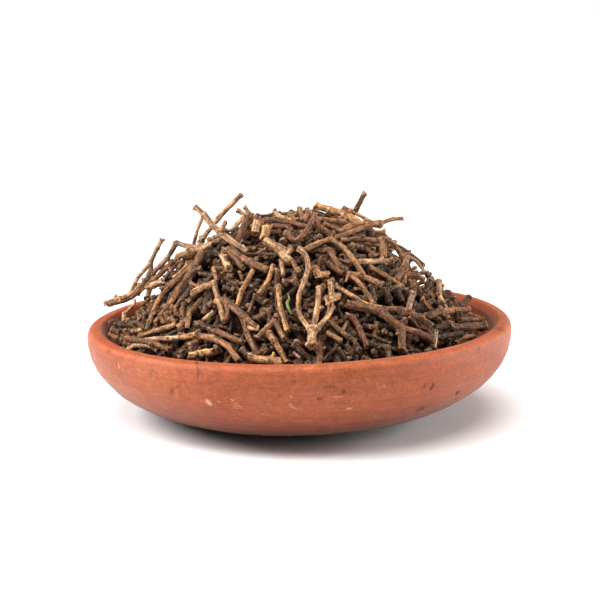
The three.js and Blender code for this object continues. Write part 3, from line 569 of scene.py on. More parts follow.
def under_ball(x, y, radius):
    """The cells within a ball's shadow, and how far each is from its middle."""
    reach = math.ceil(radius / FIELD_CELL)
    column = math.floor((x + FIELD_HALF) / FIELD_CELL + 0.5)
    row = math.floor((y + FIELD_HALF) / FIELD_CELL + 0.5)
    columns = np.arange(max(column - reach, 0), min(column + reach, FIELD_COUNT - 1) + 1)
    rows = np.arange(max(row - reach, 0), min(row + reach, FIELD_COUNT - 1) + 1)
    away = np.hypot(field_places[columns][None, :] - x, field_places[rows][:, None] - y)
    cells = rows[:, None] * FIELD_COUNT + columns[None, :]
    near = away <= radius
    return cells[near], away[near]


def lay(beads, middle, heading):
    """Lays a rod of beads as low as its best slope lets it, and returns what puts a point there."""
    cos = math.cos(heading)
    sin = math.sin(heading)
    slope = 0.0
    rest = 0.0
    for _ in range(LAYINGS):
        shrink = 1 / math.sqrt(1 + slope * slope)
        x = middle[0] + beads[:, 0] * shrink * cos - beads[:, 1] * sin
        y = middle[1] + beads[:, 0] * shrink * sin + beads[:, 1] * cos
        cells = cell_of(x, y)
        rest = math.inf
        if np.any((cells < 0) | (cells >= height.size)):
            continue
        props = height[cells] + beads[:, 3] * SETTLE - beads[:, 2]
        lifts = np.max(props[None, :] - SLOPES[:, None] * (beads[:, 0] * shrink)[None, :], axis=1)
        best = int(np.argmin(lifts))
        rest = lifts[best]
        slope = SLOPES[best]
    shrink = 1 / math.sqrt(1 + slope * slope)

    def put(points):
        points = np.asarray(points, float)
        x = middle[0] + points[:, 0] * shrink * cos - points[:, 1] * sin
        y = middle[1] + points[:, 0] * shrink * sin + points[:, 1] * cos
        return np.column_stack([x, y, rest + slope * shrink * points[:, 0] + points[:, 2]])

    return put


def room_under(beads, put):
    """How well a laid stem fills the heap, or None where it sticks out or runs into something."""
    x, y, z = put(beads).T
    radius = beads[:, 3]
    if np.any(np.hypot(x, y) > LAID_REACH):
        return None
    top = heap_top(x, y)
    if np.any(z + radius > top + SPILL):
        return None
    if np.any(z + radius > ceiling[cell_of(x, y)] + OVERLAP):
        return None
    if np.any(crowding(x, y, z, radius * WALL_ROOM)[0] > 0):
        return None
    return float(np.sum(top - z)) / len(beads)


def raise_field(beads):
    for x, y, z, radius in beads:
        cells, away = under_ball(x, y, radius)
        height[cells] = np.maximum(height[cells], z + np.sqrt(radius * radius - away * away))


def drop_stem(stems, size):
    """Drops one stem at the best of several places."""
    kind, limbs = loose_stem()
    for one in limbs:
        one["points"] = np.asarray(one["points"], float) * size
        one["radius"] *= math.sqrt(size)
    beads = beads_of_all(limbs)
    best = None
    for _ in range(TRIES_PER_STEM):
        reach = DROP_REACH * math.sqrt(chance())
        turn = 2 * math.pi * chance()
        heading = 2 * math.pi * chance()
        put = lay(beads, (reach * math.cos(turn), reach * math.sin(turn)), heading)
        room = room_under(beads, put)
        if room is not None and (best is None or room > best[0]):
            best = (room, put)
    if best is None:
        return
    laid = [{**one, "points": best[1](one["points"])} for one in limbs]
    raise_field(beads_of_all(laid))
    stems.append({"name": kind, "kind": kind, "limbs": laid})


def plant_stub(stems):
    """Stands one stub in the heap where there is a gap, pointing outwards."""
    reach = PLANT_REACH * math.sqrt(chance())
    turn = 2 * math.pi * chance()
    length = between(4, 7)
    radius = between(0.8, 1.5)
    tilt = between(0.2, 1.1)
    swing = between(-0.8, 0.8)
    rise = between(0.3, 0.9)
    x = reach * math.cos(turn)
    y = reach * math.sin(turn)
    cell = cell_of(np.array(x), np.array(y))
    gap = heap_top(x, y) - height[cell]
    if gap < GAP_DEPTH:
        return
    z = heap_top(x, y) - gap * (1 - rise)
    across = math.sin(tilt)
    out = np.array([math.cos(turn + swing) * across, math.sin(turn + swing) * across, math.cos(tilt)])
    end = np.array([x, y, z])
    foot = end - out * length
    if z + radius > ceiling[cell] + OVERLAP:
        return
    if crowding(x, y, z, radius * KNOB_FLARE)[0] > 0:
        return
    if crowding(*foot, radius)[0] > 0:
        return
    raise_field([(x, y, z, radius)])
    stems.append({"name": "stubs", "kind": "stubs", "limbs": [limb(2 * radius, "kn", end, foot)]})


def build_heap():
    """All stems of the heap as it is laid, the shown ones first."""
    stems = []
    for name, limbs in SHOWN_STEMS.items():
        placed = place_shown(limbs)
        for x, y, z, radius in beads_of_all(placed):
            cells, _ = under_ball(x, y, radius + FIELD_CELL / 2)
            ceiling[cells] = np.minimum(ceiling[cells], z - radius)
        kind = "front_forks" if len(placed) > 1 else "front_rods"
        stems.append({"name": name, "kind": kind, "limbs": placed})
    shown = np.vstack([beads_of_all(stem["limbs"]) for stem in stems])
    for _ in range(WHOLE_COUNT):
        drop_stem(stems, 1)
    for _ in range(BROKEN_COUNT):
        drop_stem(stems, BROKEN_SIZE)
    for _ in range(PLANTED_COUNT):
        plant_stub(stems)
    raise_field(shown)
    return stems


# ---------------------------------------------------------------- colours


def linear(red, green, blue):
    """A colour given as it looks on a screen, 0 to 255, as light."""
    levels = np.array([red, green, blue]) / 255
    return np.where(levels <= 0.04045, levels / 12.92, ((levels + 0.055) / 1.055) ** 2.4)


BARKS = {
    "white": linear(236, 200, 162),
    "cream": linear(224, 174, 128),
    "pale": linear(204, 152, 107),
    "honey": linear(212, 152, 97),
    "amber": linear(232, 170, 110),
    "tan": linear(178, 123, 80),
    "brown": linear(138, 91, 59),
    "red": linear(140, 80, 50),
    "grey": linear(178, 138, 110),
    "dark": linear(104, 67, 42),
    "soot": linear(66, 41, 25),
}
PITH = linear(206, 158, 112)
# the dark inside of an open end: painted shade in the hollow
HOLLOW_SHADE = linear(40, 25, 18)
SOOT = linear(52, 33, 24)

STEM_BARKS = {
    "white": ["white_sliver"],
    "cream": [
        "short_pale_rod", "pale_sliver", "long_thin", "front_left_upper", "front_left_pale",
        "facing_knob", "left_spire", "pale_bar", "left_pale_bend", "right_pale_post",
        "top_left_knobs", "wide_wedge", "top_bar",
    ],
    "pale": [
        "right_knob", "pale_fork", "bent_twig", "pale_knob", "light_long", "spire_fork", "trident",
        "seven", "upright_pale", "left_stout", "left_chunk", "left_knob", "left_foot", "spire",
        "double_end", "facing_ring", "right_pale_run", "top_slope",
    ],
    "amber": ["cut_stub", "pale_cut", "top_stout", "bottom_pale", "cut_piece"],
    "honey": ["middle_rod", "orange_rod", "holed_rod"],
    "tan": [
        "right_tip", "mushroom", "saddle", "middle_wishbone", "long_diagonal", "ringed_twig",
        "wall_grey", "low_rod", "red_knob", "top_under", "low_bend", "peeled_sliver", "long_slope",
        "long_second", "front_arch", "left_under", "cream_tip", "spire_stub", "small_elbow",
        "top_knobs", "wall_stub", "front_right_stub",
    ],
    "grey": ["left_angle", "right_hook", "grey_post"],
    "red": ["reddish_bend"],
    "dark": [
        "thin_bar", "peeled", "short_pale", "wall_big", "angular_chunk", "right_dark_post",
        "small_node", "low_left_knobs", "wall_knob", "right_back_knobs", "right_lip_stem",
        "ring_twig",
    ],
    # the low stems set back at the left, among these, are painted shade where the wall lies in shadow
    "soot": [
        "dull_twig", "low_left_shade_stems", "knob_row", "front_knobs", "broad_dark", "ringed_dark",
        "wall_low_dark",
    ],
}  # the others are brown
BARK_OF = {name: tone for tone, names in STEM_BARKS.items() for name in names}
LOOSE_BARKS = ["brown", "brown", "brown", "dark", "dark", "tan", "tan", "honey", "pale", "grey"]
LOOSE_WARMTH = np.array([1.05, 0.92, 0.9])

# ---------------------------------------------------------------- what only the looks need

# Stems are drawn thinner than they are laid, as their roughness adds to them. Those under the
# thick radius lose less, and thin ones are drawn a little thicker.
SLIM = 0.86
SLIM_LESS = 0.22
THICK_RADIUS = 1.0
THIN_RADIUS = 0.5
SLIMMER = {
    "trident": (1, 0.72, 0.72, 1, 1),
    "holed_rod": (0.78,),
    "middle_rod": (0.82,),
    "spire": (1.3, 1),
    "top_spike": (1.35,),
    "left_spire": (1.3, 1.2, 1.1),
}  # what the widths of a stem's limbs are multiplied by
BLUNT = ["left_spire", "right_tip"]  # whose tapered ends are broken off short
FACING = {
    "trident": 3.0,
    "facing_ring": 3.0,
    "facing_knob": 2.5,
    "facing_stub": 2.5,
    "left_stout": 1.5,
    "right_knob": 2.0,
}  # how far a stem's first end comes forward
SHALLOW = 4.0  # loose stems deeper in the heap than this are made plainly
BUDDING_RADIUS = 0.72  # thinner limbs that stand out have no shoots
SHOOT_ODDS = 0.6
SHOWN_SHADE = (0.88, 1.04)
LOOSE_SHADE = (0.42, 0.98)
CRUMB_SHADE = (0.3, 0.9)
TINT_SPREAD = (0.97, 1.03)
PAINTED_DEPTH_SHADE = 0.22  # painted shade: how much darker a loose stem is coloured for each millimetre that it lies deep

FILL_REACH = HEAP_RADIUS - 3
FILL_TRIES = 9000
FILL_COUNT = 260
CRUMB_TRIES = 800
CRUMB_ROOM = 2.2  # a crumb keeps this far from the wall
CRUMB_COVER = 0.8  # and lies this far under the heap's surface

# Sights kept clear of loose stems, as pixel and reach: gaps that show light, and the bare wall.
CLEAR_SIGHTS = [
    (160, 290, 1.5), (173, 269, 1), (181, 247, 1.2), (171, 260, 0.6), (215, 234, 1.5), (244, 245, 1),
    (391, 251, 1.2), (146, 298, 1), (420, 282, 2.5), (416, 268, 2), (421, 276, 1.5), (128, 306, 2.5),
    (136, 308, 3), (143, 307, 3), (140, 313, 2.5), (149, 303, 2), (120, 305, 2.5),
]

# Knobs and short runs that lie among the others, by pixel, as in the table above, and how far
# back some of them lie.
MORE_STEMS = {
    "left_foot": [limb(1.8, "cc", [141, 284], [128, 295.5], [105, 303.5])],
    "left_under": [limb(1.5, "kc", [161, 274], [146, 286], [130, 298], [108.5, 305])],
    "left_back": [
        limb(1.9, "cc", [173, 262], [160, 275], [148, 286]),
        limb(1.6, "kc", [179, 261], [168.5, 274]),
        limb(1.5, "cc", [185, 260], [177.5, 270]),
        limb(1.4, "kc", [171, 270.5], [165, 279]),
    ],
    # soot-dark stems set back low at the left where the wall lies in shadow, as painted shade
    "low_left_shade_stems": [limb(2.2, "cc", [112, 332], [130, 331]), limb(2.2, "cc", [115, 326], [135, 328])],
    "low_left_knobs": [
        limb(1.8, "kc", [116, 338.5], [123, 343]),
        limb(1.7, "kc", [123.5, 333.5], [130, 339]),
        limb(1.6, "kc", [125, 344], [133, 347]),
        limb(1.5, "kc", [137, 322], [143, 329]),
        limb(1.6, "kc", [112, 329.5], [119, 333]),
        limb(1.4, "kc", [128, 321], [134, 325]),
        limb(1.4, "kc", [133, 338], [140, 342]),
    ],
    "slope_knobs": [
        limb(1.3, "kc", [160, 314.5], [164, 323]),
        limb(1.3, "kc", [166, 313], [168, 322]),
        limb(1.2, "kc", [175, 307.5], [176, 315]),
        limb(1.2, "kc", [182, 308.5], [182, 316]),
        limb(1.3, "kc", [171, 318], [175, 323]),
    ],
}
SET_BACK = {"low_left_shade_stems": 3.0, "left_back": 1.5, "low_left_knobs": 0.8}

# Shreds of green leaf, as half their width and the pixels that they pass.
LEAVES = [
    (0.4, [(288, 294), (289, 299), (287, 304), (291, 314)]),
    (0.24, [(207.5, 318.5), (210, 316), (212, 314)]),
]
LEAF_FORWARD = 1.2  # out from the heap's surface, in millimetres
LEAF_FLATNESS = 0.25

# ---------------------------------------------------------------- limbs as fine meshes

RIPPLE_OCTAVES = (1.0, 0.53, 0.29)
RIPPLE_HEIGHT = 1.8


def ripple(places, scale, strength):
    """A smooth random line over places, in steps of about scale."""
    total = np.zeros_like(places, dtype=float)
    for octave in RIPPLE_OCTAVES:
        total += octave * np.sin(places / (scale * octave) + looks.uniform(0, ANY_TURN))
    return strength * total / RIPPLE_HEIGHT


def smooth(value):
    value = np.clip(value, 0, 1)
    return value * value * (3 - 2 * value)


def end_rings(end, form):
    """The rings that close a limb's end, as rows of [inset, width, hollow], from the edge in. Hollow is how
    much painted shade a ring takes.
    """
    if end == "k" and form == "bud":
        return [(-0.25, 0.9, 0.0), (-0.5, 0.62, 0.15), (-0.55, 0.3, 0.35), (-0.4, 0.02, 0.7)]
    if end == "k" and form == "open":
        return [(-0.05, 0.88, 0.0), (0.05, 0.62, 0.2), (0.3, 0.4, 0.85), (0.5, 0.2, 1.0), (0.55, 0.02, 1.0)]
    if end in "kc":
        return [(-0.03, 0.9, 0.0), (-0.05, 0.66, 0.0), (0.02, 0.4, 0.15), (0.1, 0.2, 0.6), (0.16, 0.02, 0.8)]
    if end == "t":
        return [(-0.3, 0.7, 0.0), (-0.5, 0.3, 0.0), (-0.55, 0.02, 0.0)]
    return [(-0.45, 0.86, 0.0), (-0.8, 0.5, 0.0), (-0.92, 0.02, 0.0)]


def end_form(fine):
    """Which way a limb's end is broken: a bud, a flat face or an open pith."""
    draw = looks.uniform()
    if draw < (0.4 if fine else 0.55):
        return "bud"
    return "open" if draw > (0.84 if fine else 0.95) else "flat"


def hump(away, reach):
    """1 at a place, falling to nothing over a few times the reach."""
    return np.exp(-((away / reach) ** 2))


def blend(colours, over, share):
    """A grid of colours with another laid over it, each row by its own share."""
    share = share[:, None, None]
    return colours * (1 - share) + over[None, None, :] * share


def swelling(end, away, radius):
    """How much wider a limb is at a distance from one of its ends."""
    if end == "k":
        flare = 0.8 * (KNOB_FLARE - 1) * (1 - smooth(away / (1.7 * radius)))
        return flare - 0.13 * hump(away - 0.8 * radius, 0.25 * radius)
    if end == "t":
        return -0.5 * (1 - smooth(away / (7 * radius)))
    if end == "n":
        return 0.24 * hump(away, radius)
    return 0.06 * hump(away, 0.7 * radius)


# Lobes round the limb, turns along it in radians per millimetre, and strength of each.
GNARLS = [
    (2, 0.9, 0.5), (3, 1.6, 0.45), (4, 1.1, 0.4), (5, 0.7, 0.45), (6, 2.6, 0.25), (3, 3.6, 0.25),
    (1, 2.2, 0.4),
]


def gnarls(turn, places, strength):
    """Uneven growth over a limb's skin, as a grid of changes to its width."""
    total = np.zeros((len(places), len(turn)))
    for lobes, pitch, share in GNARLS:
        drift = looks.uniform(-1, 1) * pitch
        for strong, twist in ((1, drift), (0.6, -1.7 * drift)):
            phase = looks.uniform(0, ANY_TURN)
            total += strong * share * np.sin(lobes * turn[None, :] + twist * places[:, None] + phase)
    return strength * total


CURVE_POINTS = 40


def lengths_along(points):
    """How far along a limb the points of its smooth curve lie."""
    curve = along_rod(points, np.linspace(0, 1, CURVE_POINTS))
    return np.concatenate([[0], np.cumsum(np.sqrt(np.sum(np.diff(curve, axis=0) ** 2, axis=1)))])


def limb_frame(points, places, lengths):
    """The limb's middle line at places along it, its direction there and two across it."""
    parts = np.interp(places, lengths, np.linspace(0, 1, CURVE_POINTS))
    middles = along_rod(points, parts)
    tangents = np.gradient(middles, places, axis=0)
    tangents /= np.linalg.norm(tangents, axis=1)[:, None]
    chord = middles[-1] - middles[0]
    side = np.cross(np.eye(3)[int(np.argmin(np.abs(chord)))], tangents)
    side /= np.linalg.norm(side, axis=1)[:, None]
    return middles, tangents, side, np.cross(tangents, side)


# How fine a limb is made, by detail: sides of slender and of stout ones, millimetres from ring to
# ring, and the rings set close to an end, in radii.
LIMB_SIDES = ((5, 6), (7, 9), (12, 16))
LIMB_STEPS = (1.8, 0.85, 0.3)
LIMB_CLOSE = ([0.0, 0.9], [0.0, 0.35, 0.9], [0.0, 0.3, 0.6, 0.9])
SLENDER = 0.85


def ring_places(length, radius, detail):
    """Where a limb's rings lie along it."""
    count = max(2 + detail, int(length / LIMB_STEPS[detail]) + 1)
    close = np.array(LIMB_CLOSE[detail]) * radius
    places = np.concatenate([np.linspace(0, length, count), close, length - close])
    places = np.unique(places.clip(0, length).round(3))
    return places[np.concatenate([[True], np.diff(places) > 0.02])]


def drawn_radius(radius):
    thin = (THICK_RADIUS - radius) / (THICK_RADIUS - THIN_RADIUS)
    return radius * (SLIM + SLIM_LESS * float(np.clip(thin, 0, 1)))


GRAIN_SPREAD = 400  # limbs take their bark's pattern from places this far apart, in millimetres
SWAY = 0.1  # how far a limb strays from its curve, in radii
JOINT_LENGTH = 7  # shorter limbs, in radii, have no joint
JOINT_ODDS = 0.7
WORN_AND_HIGHLIT = {"k": (0.55, 0.3), "c": (0.4, 0.2)}  # how pale knobs and cuts are, as wear and on knobs' rims also as a painted highlight, and over how many radii


def limb_widths(ends, aways, length, radius):
    """A limb's width and its dark rings, by place along it, and where it has a joint."""
    width = 1 + swelling(ends[0], aways[0], radius) + swelling(ends[1], aways[1], radius)
    width += ripple(aways[0], 1.1 * radius, 0.06)
    ring = np.zeros_like(width)
    joints = []
    if length > JOINT_LENGTH * radius and looks.uniform() < JOINT_ODDS:
        joint = looks.uniform(0.25, 0.75) * length
        joints.append(joint)
        width += 0.24 * hump(aways[0] - joint, 0.55 * radius)
        ring = hump(aways[0] - joint, 0.3 * radius)
    for end, away in zip(ends, aways):
        if end in "kn":
            ring = np.maximum(ring, 0.7 * hump(away - 0.8 * radius, 0.35 * radius))
    return width, ring, joints


def limb_rows(ends, forms, width, radius):
    """A limb's rings from end to end: place, inset, width, hollow, and 1 where it closes an end."""
    rows = []
    for inset, share, hollow in reversed(end_rings(ends[0], forms[0])):
        rows.append((0, inset * radius, share * width[0], hollow, 1))
    for i, wide in enumerate(width):
        rows.append((i, 0, wide, 0, 0))
    for inset, share, hollow in end_rings(ends[1], forms[1]):
        rows.append((len(width) - 1, -inset * radius, share * width[-1], hollow, 1))
    return np.array(rows, float).T


def petals(turn, away, radius):
    """The lobes round a knob, as changes to its width."""
    count = looks.randint(2, 5)
    crown = np.cos(count * turn + looks.uniform(0, ANY_TURN))
    crown = crown + 0.5 * np.cos(2 * turn + looks.uniform(0, ANY_TURN))
    return 0.13 * crown[None, :] * (1 - smooth(away / (1.5 * radius)))[:, None]


def broken_end(turn, wide, jags, outward, radius):
    """How far an end's rings stand out where they are jagged, slanting and crumbled."""
    jag = ripple(turn * 3.0, 1.0, jags * radius)
    slant = 0.35 * radius * np.cos(turn + looks.uniform(0, ANY_TURN))
    uneven = outward * (jag + slant)[None, :] * np.minimum(1, wide)
    return uneven + looks.normal(0, 0.07 * radius, uneven.shape) * (wide > 0.1)


def worn_and_highlit_share(ends, aways, radius):
    """How much paler a limb is towards its knobs and cuts, by place along it: bark worn off, and on knobs'
    rims a painted highlight.
    """
    paling = np.zeros_like(aways[0])
    for end, away in zip(ends, aways):
        if end in WORN_AND_HIGHLIT:
            most, spread = WORN_AND_HIGHLIT[end]
            paling = np.maximum(paling, most * hump(away, spread * radius))
    return paling


def limb_mesh(one, bark, detail):
    """One limb as a closed grid, with its colours and bark coordinates, and where it has joints.

    Detail is 2 for stems that stand out, 1 for the others and 0 for what lies deep.
    """
    fine = detail == 2
    ends = one["ends"]
    radius = drawn_radius(one["radius"])
    slender = radius < SLENDER
    sides = LIMB_SIDES[detail][0 if slender else 1]
    turn = 2 * math.pi * np.arange(sides) / sides
    lengths = lengths_along(one["points"])
    length = lengths[-1]
    places = ring_places(length, radius, detail)
    aways = (places, length - places)
    middles, tangents, side, over = limb_frame(one["points"], places, lengths)
    if not fine or length > 4 * radius:
        sway = SWAY * radius * smooth(np.minimum(*aways) / (2 * radius))
        middles = middles + (sway * ripple(places, 2.2, 1.0))[:, None] * side
        middles = middles + (sway * ripple(places, 2.7, 1.0))[:, None] * over
    width, ring, joints = limb_widths(ends, aways, length, radius)
    forms = (end_form(fine), end_form(fine))
    index, inset, wide, hollow, closing = limb_rows(ends, forms, width, radius)
    index = index.astype(int)
    wide = wide[:, None]
    nears = (index == 0, index == len(places) - 1)

    # the skin's unevenness, with petals round a knob and ragged breaks
    skin = 1 + gnarls(turn, places[index], 0.04 if slender else 0.06)
    skin += looks.normal(0, 0.03 if fine else 0.02, skin.shape)
    lobes = np.zeros(skin.shape)
    ragged = np.zeros(skin.shape)
    for end, near, away, outward in zip(ends, nears, aways, (1, -1)):
        if end == "k":
            lobes += petals(turn, away, radius)[index]
        if end in "ck":
            ragged[near] = broken_end(turn, wide[near], 0.16 if end == "k" else 0.3, outward, radius)
    spokes = np.cos(turn)[None, :, None] * side[index][:, None, :]
    spokes = spokes + np.sin(turn)[None, :, None] * over[index][:, None, :]
    reach = radius * wide * (skin + lobes)
    points = middles[index][:, None, :] + reach[:, :, None] * spokes
    points += (inset[:, None] + ragged)[:, :, None] * tangents[index][:, None, :]

    # colours: bark with darker joints; painted light and shade on the skin, paler where it stands out and
    # darker where it sinks; paler towards knobs and cuts, as wear with a painted highlight on knobs' rims;
    # paler cut faces; painted shade inside open ends
    shade = 1 + ripple(places[index], 1.9, 0.22)[:, None] + 1.6 * (skin - 1) + 0.7 * lobes
    shade = shade + looks.normal(0, 0.06, shade.shape)
    colours = bark[None, None, :] * np.clip(shade, 0.4, 1.8)[:, :, None]
    colours = blend(colours, SOOT, 0.5 * ring[index])
    colours = blend(colours, 0.8 * PITH, worn_and_highlit_share(ends, aways, radius)[index])
    for end, near, form in zip(ends, nears, forms):
        if end == "c" or (end == "k" and form != "bud"):
            colours[near & (closing == 1)] = 0.45 * PITH + 0.55 * bark
    # painted shade inside open ends
    colours = blend(colours, HOLLOW_SHADE, hollow)

    travel = np.concatenate([[0], np.cumsum(np.abs(np.diff(places[index] + inset)) + 0.02)])
    grain = np.empty((*skin.shape, 3))
    grain[:, :, 0] = np.cos(turn)[None, :] * radius
    grain[:, :, 1] = np.sin(turn)[None, :] * radius
    grain[:, :, 2] = travel[:, None]
    made = {"points": points, "colours": np.clip(colours, 0, 1), "travel": travel}
    made["grain"] = grain + looks.uniform(0, GRAIN_SPREAD, 3)
    made["girth"] = ANY_TURN * radius
    return made, joints


PAIR_ODDS = 0.6


def buds_of(one, joints):
    """Short side shoots, singly or in pairs, where a limb has a joint."""
    buds = []
    lengths = lengths_along(one["points"])
    for joint in joints:
        places = np.array([joint - 0.05, joint + 0.05]).clip(0, lengths[-1])
        middles, tangents, side, over = limb_frame(one["points"], places, lengths)
        turn = looks.uniform(0, ANY_TURN)
        for flip in (0, math.pi) if looks.uniform() < PAIR_ODDS else (0,):
            out = math.cos(turn + flip) * side[0] + math.sin(turn + flip) * over[0]
            way = out + looks.uniform(0.3, 1.1) * tangents[0]
            way /= np.linalg.norm(way)
            radius = one["radius"] * looks.uniform(0.42, 0.62)
            tip = middles[0] + way * one["radius"] * looks.uniform(1.5, 2.3)
            foot = middles[0] + 0.3 * one["radius"] * out
            buds.append({"radius": radius, "ends": "kn", "points": np.array([tip, foot])})
    return buds


# ---------------------------------------------------------------- arrays to objects

scene = bpy.context.scene

STRIP_GAP = 0.4  # between the limbs' strips in the UV square, in millimetres
PACKING = 1.12  # the square's size at first, by the strips' own area


def add_object(name, data):
    made = bpy.data.objects.new(name, data)
    scene.collection.objects.link(made)
    return made


def atlas(limbs):
    """Places each limb's strip in one square, row by row: each strip's corner, and the scale."""
    widths = np.array([one["travel"][-1] for one in limbs]) + STRIP_GAP
    heights = np.array([one["girth"] for one in limbs]) + STRIP_GAP
    order = np.argsort(-heights, kind="stable")
    span = math.sqrt(float(np.sum(widths * heights)) * PACKING)
    while True:
        corners = np.zeros((len(limbs), 2))
        x = y = row = 0.0
        for i in order:
            if x + widths[i] > span:
                x = 0.0
                y += row
                row = 0.0
            corners[i] = (x, y)
            row = max(row, heights[i])
            x += widths[i]
        if y + row <= span:
            return corners, 1 / span
        span *= 1.03


def grid_faces(uvs, turned=False, base=0):
    """The faces of a closed grid of rings: quads, and one cap at each end, with their UVs.

    The UVs are given by ring and column, with one column more than the grid has. Turned says that
    the columns run the other way round.
    """
    rings, columns = uvs.shape[0], uvs.shape[1] - 1
    grid = base + np.arange(rings * columns).reshape(rings, columns)
    after = np.roll(grid, -1, axis=1)
    corners = [grid[:-1], grid[1:], after[1:], after[:-1]]
    places = [uvs[:-1, :-1], uvs[1:, :-1], uvs[1:, 1:], uvs[:-1, 1:]]
    first = 1
    if turned:
        corners = [corners[i] for i in (0, 3, 2, 1)]
        places = [places[i] for i in (0, 3, 2, 1)]
        first = -1
    return {
        "quads": np.stack(corners, axis=-1).reshape(-1, 4),
        "uvs": np.stack(places, axis=2).reshape(-1, 2),
        "caps": [grid[0][::first], grid[-1][::-first]],
        "cap_uvs": np.vstack([uvs[0, :-1][::first], uvs[-1, :-1][::-first]]),
    }


def mesh_piece(name, points, grids):
    """An object from arrays: its points, in millimetres, and the faces of its grids."""
    quads = np.vstack([grid["quads"] for grid in grids])
    caps = [cap for grid in grids for cap in grid["caps"]]
    uvs = np.vstack([grid["uvs"] for grid in grids] + [grid["cap_uvs"] for grid in grids])
    corners = np.concatenate([quads.ravel(), *caps]).astype(np.int32)
    totals = np.concatenate([np.full(len(quads), 4), [len(cap) for cap in caps]]).astype(np.int32)
    starts = np.concatenate([[0], np.cumsum(totals)[:-1]]).astype(np.int32)
    mesh = bpy.data.meshes.new(name)
    mesh.vertices.add(len(points))
    mesh.loops.add(len(corners))
    mesh.polygons.add(len(totals))
    mesh.vertices.foreach_set("co", (points * METRES).astype(np.float32).ravel())
    mesh.loops.foreach_set("vertex_index", corners)
    mesh.polygons.foreach_set("loop_start", starts)
    mesh.polygons.foreach_set("use_smooth", np.ones(len(totals), bool))
    mesh.update(calc_edges=True)
    layer = mesh.uv_layers.new(name="OFBake")
    layer.data.foreach_set("uv", uvs.astype(np.float32).ravel())
    return add_object(name, mesh)


def set_colours(piece, name, colours):
    """Colours at a piece's points, which its material reads by name."""
    layer = piece.data.attributes.new(name, "FLOAT_COLOR", "POINT")
    colours = np.column_stack([colours, np.ones(len(colours))])
    layer.data.foreach_set("color", colours.astype(np.float32).ravel())


def stem_piece(name, limbs):
    """One piece from many limbs."""
    corners, scale = atlas(limbs)
    grids = []
    base = 0
    for one, corner in zip(limbs, corners):
        rings, sides = one["points"].shape[:2]
        uvs = np.empty((rings, sides + 1, 2))
        uvs[:, :, 0] = (corner[0] + STRIP_GAP / 2 + one["travel"])[:, None]
        uvs[:, :, 1] = corner[1] + STRIP_GAP / 2 + one["girth"] * np.arange(sides + 1) / sides
        grids.append(grid_faces(uvs * scale, base=base))
        base += rings * sides
    points = np.vstack([one["points"].reshape(-1, 3) for one in limbs])
    points[:, 0] += SHIFT
    piece = mesh_piece(name, points, grids)
    set_colours(piece, "bark", np.vstack([one["colours"].reshape(-1, 3) for one in limbs]))
    grain = np.vstack([one["grain"].reshape(-1, 3) for one in limbs])
    layer = piece.data.attributes.new("grain", "FLOAT_VECTOR", "POINT")
    layer.data.foreach_set("vector", grain.astype(np.float32).ravel())
    return piece


# ---------------------------------------------------------------- materials


class Shader:
    """A material's nodes, made and joined by name."""

    def __init__(self, name):
        self.material = bpy.data.materials.new(name)
        self.material.use_nodes = True
        self.tree = self.material.node_tree
        self.surface = self.tree.nodes["Principled BSDF"]

    def add(self, kind, settings=None, **inputs):
        node = self.tree.nodes.new("ShaderNode" + kind)
        for key, value in (settings or {}).items():
            setattr(node, key, value)
        self.feed(node, {key.replace("_", " "): value for key, value in inputs.items()})
        return node

    def feed(self, node, inputs):
        """Sets a node's inputs, by name or number, to values or to what comes from other nodes."""
        for key, value in inputs.items():
            if isinstance(value, bpy.types.NodeSocket):
                self.tree.links.new(value, node.inputs[key])
            else:
                node.inputs[key].default_value = value

    def place(self):
        return self.add("TexCoord").outputs["Object"]

    def attribute(self, name, output="Color"):
        return self.add("Attribute", {"attribute_name": name}).outputs[output]

    def noise(self, vector, scale, detail=3.0, roughness=0.55, distortion=0.0):
        settings = {"Scale": scale, "Detail": detail, "Roughness": roughness, "Distortion": distortion}
        return self.add("TexNoise", Vector=vector, **settings).outputs["Fac"]

    def level(self, value, low, high, to_low, to_high):
        """A value carried over from one range to another, and held inside it."""
        node = self.add("MapRange", {"clamp": True}, Value=value)
        self.feed(node, {"From Min": low, "From Max": high, "To Min": to_low, "To Max": to_high})
        return node.outputs["Result"]

    def vector(self, operation, first, second=None):
        node = self.add("VectorMath", {"operation": operation})
        self.feed(node, {0: first})
        if second is not None:
            self.feed(node, {"Scale" if operation == "SCALE" else 1: second})
        return node.outputs["Value" if operation in ("DOT_PRODUCT", "LENGTH") else "Vector"]

    def maths(self, operation, first, second):
        node = self.add("Math", {"operation": operation})
        self.feed(node, {0: first, 1: second})
        return node.outputs[0]

    def mix(self, share, first, second, blend="MIX"):
        node = self.add("Mix", {"data_type": "RGBA", "blend_type": blend})
        self.feed(node, {0: share, 6: first, 7: second})
        return node.outputs[2]

    def shade(self, colour, value, low, high, darkest, lightest):
        """A colour made darker and lighter by a value."""
        return self.mix(1.0, colour, self.level(value, low, high, darkest, lightest), "MULTIPLY")

    def cover(self, colour, value, low, high, most, over):
        """A colour with another laid over it where a value is high."""
        return self.mix(self.level(value, low, high, 0.0, most), colour, over)

    def relief(self, parts, strength, depth):
        """Bumps from values, each with its share."""
        height = None
        for value, share in parts:
            part = self.maths("MULTIPLY", value, share)
            height = part if height is None else self.maths("ADD", height, part)
        return self.add("Bump", Strength=strength, Distance=depth, Height=height).outputs["Normal"]

    def finish(self, colour, roughness, normal, gloss):
        look = {"Base Color": colour, "Roughness": roughness, "Normal": normal}
        self.feed(self.surface, {**look, "Specular IOR Level": gloss})
        return self.material


def screen(red, green, blue):
    """A colour given as it looks on a screen, as a shader takes it."""
    return (*linear(red, green, blue).tolist(), 1.0)


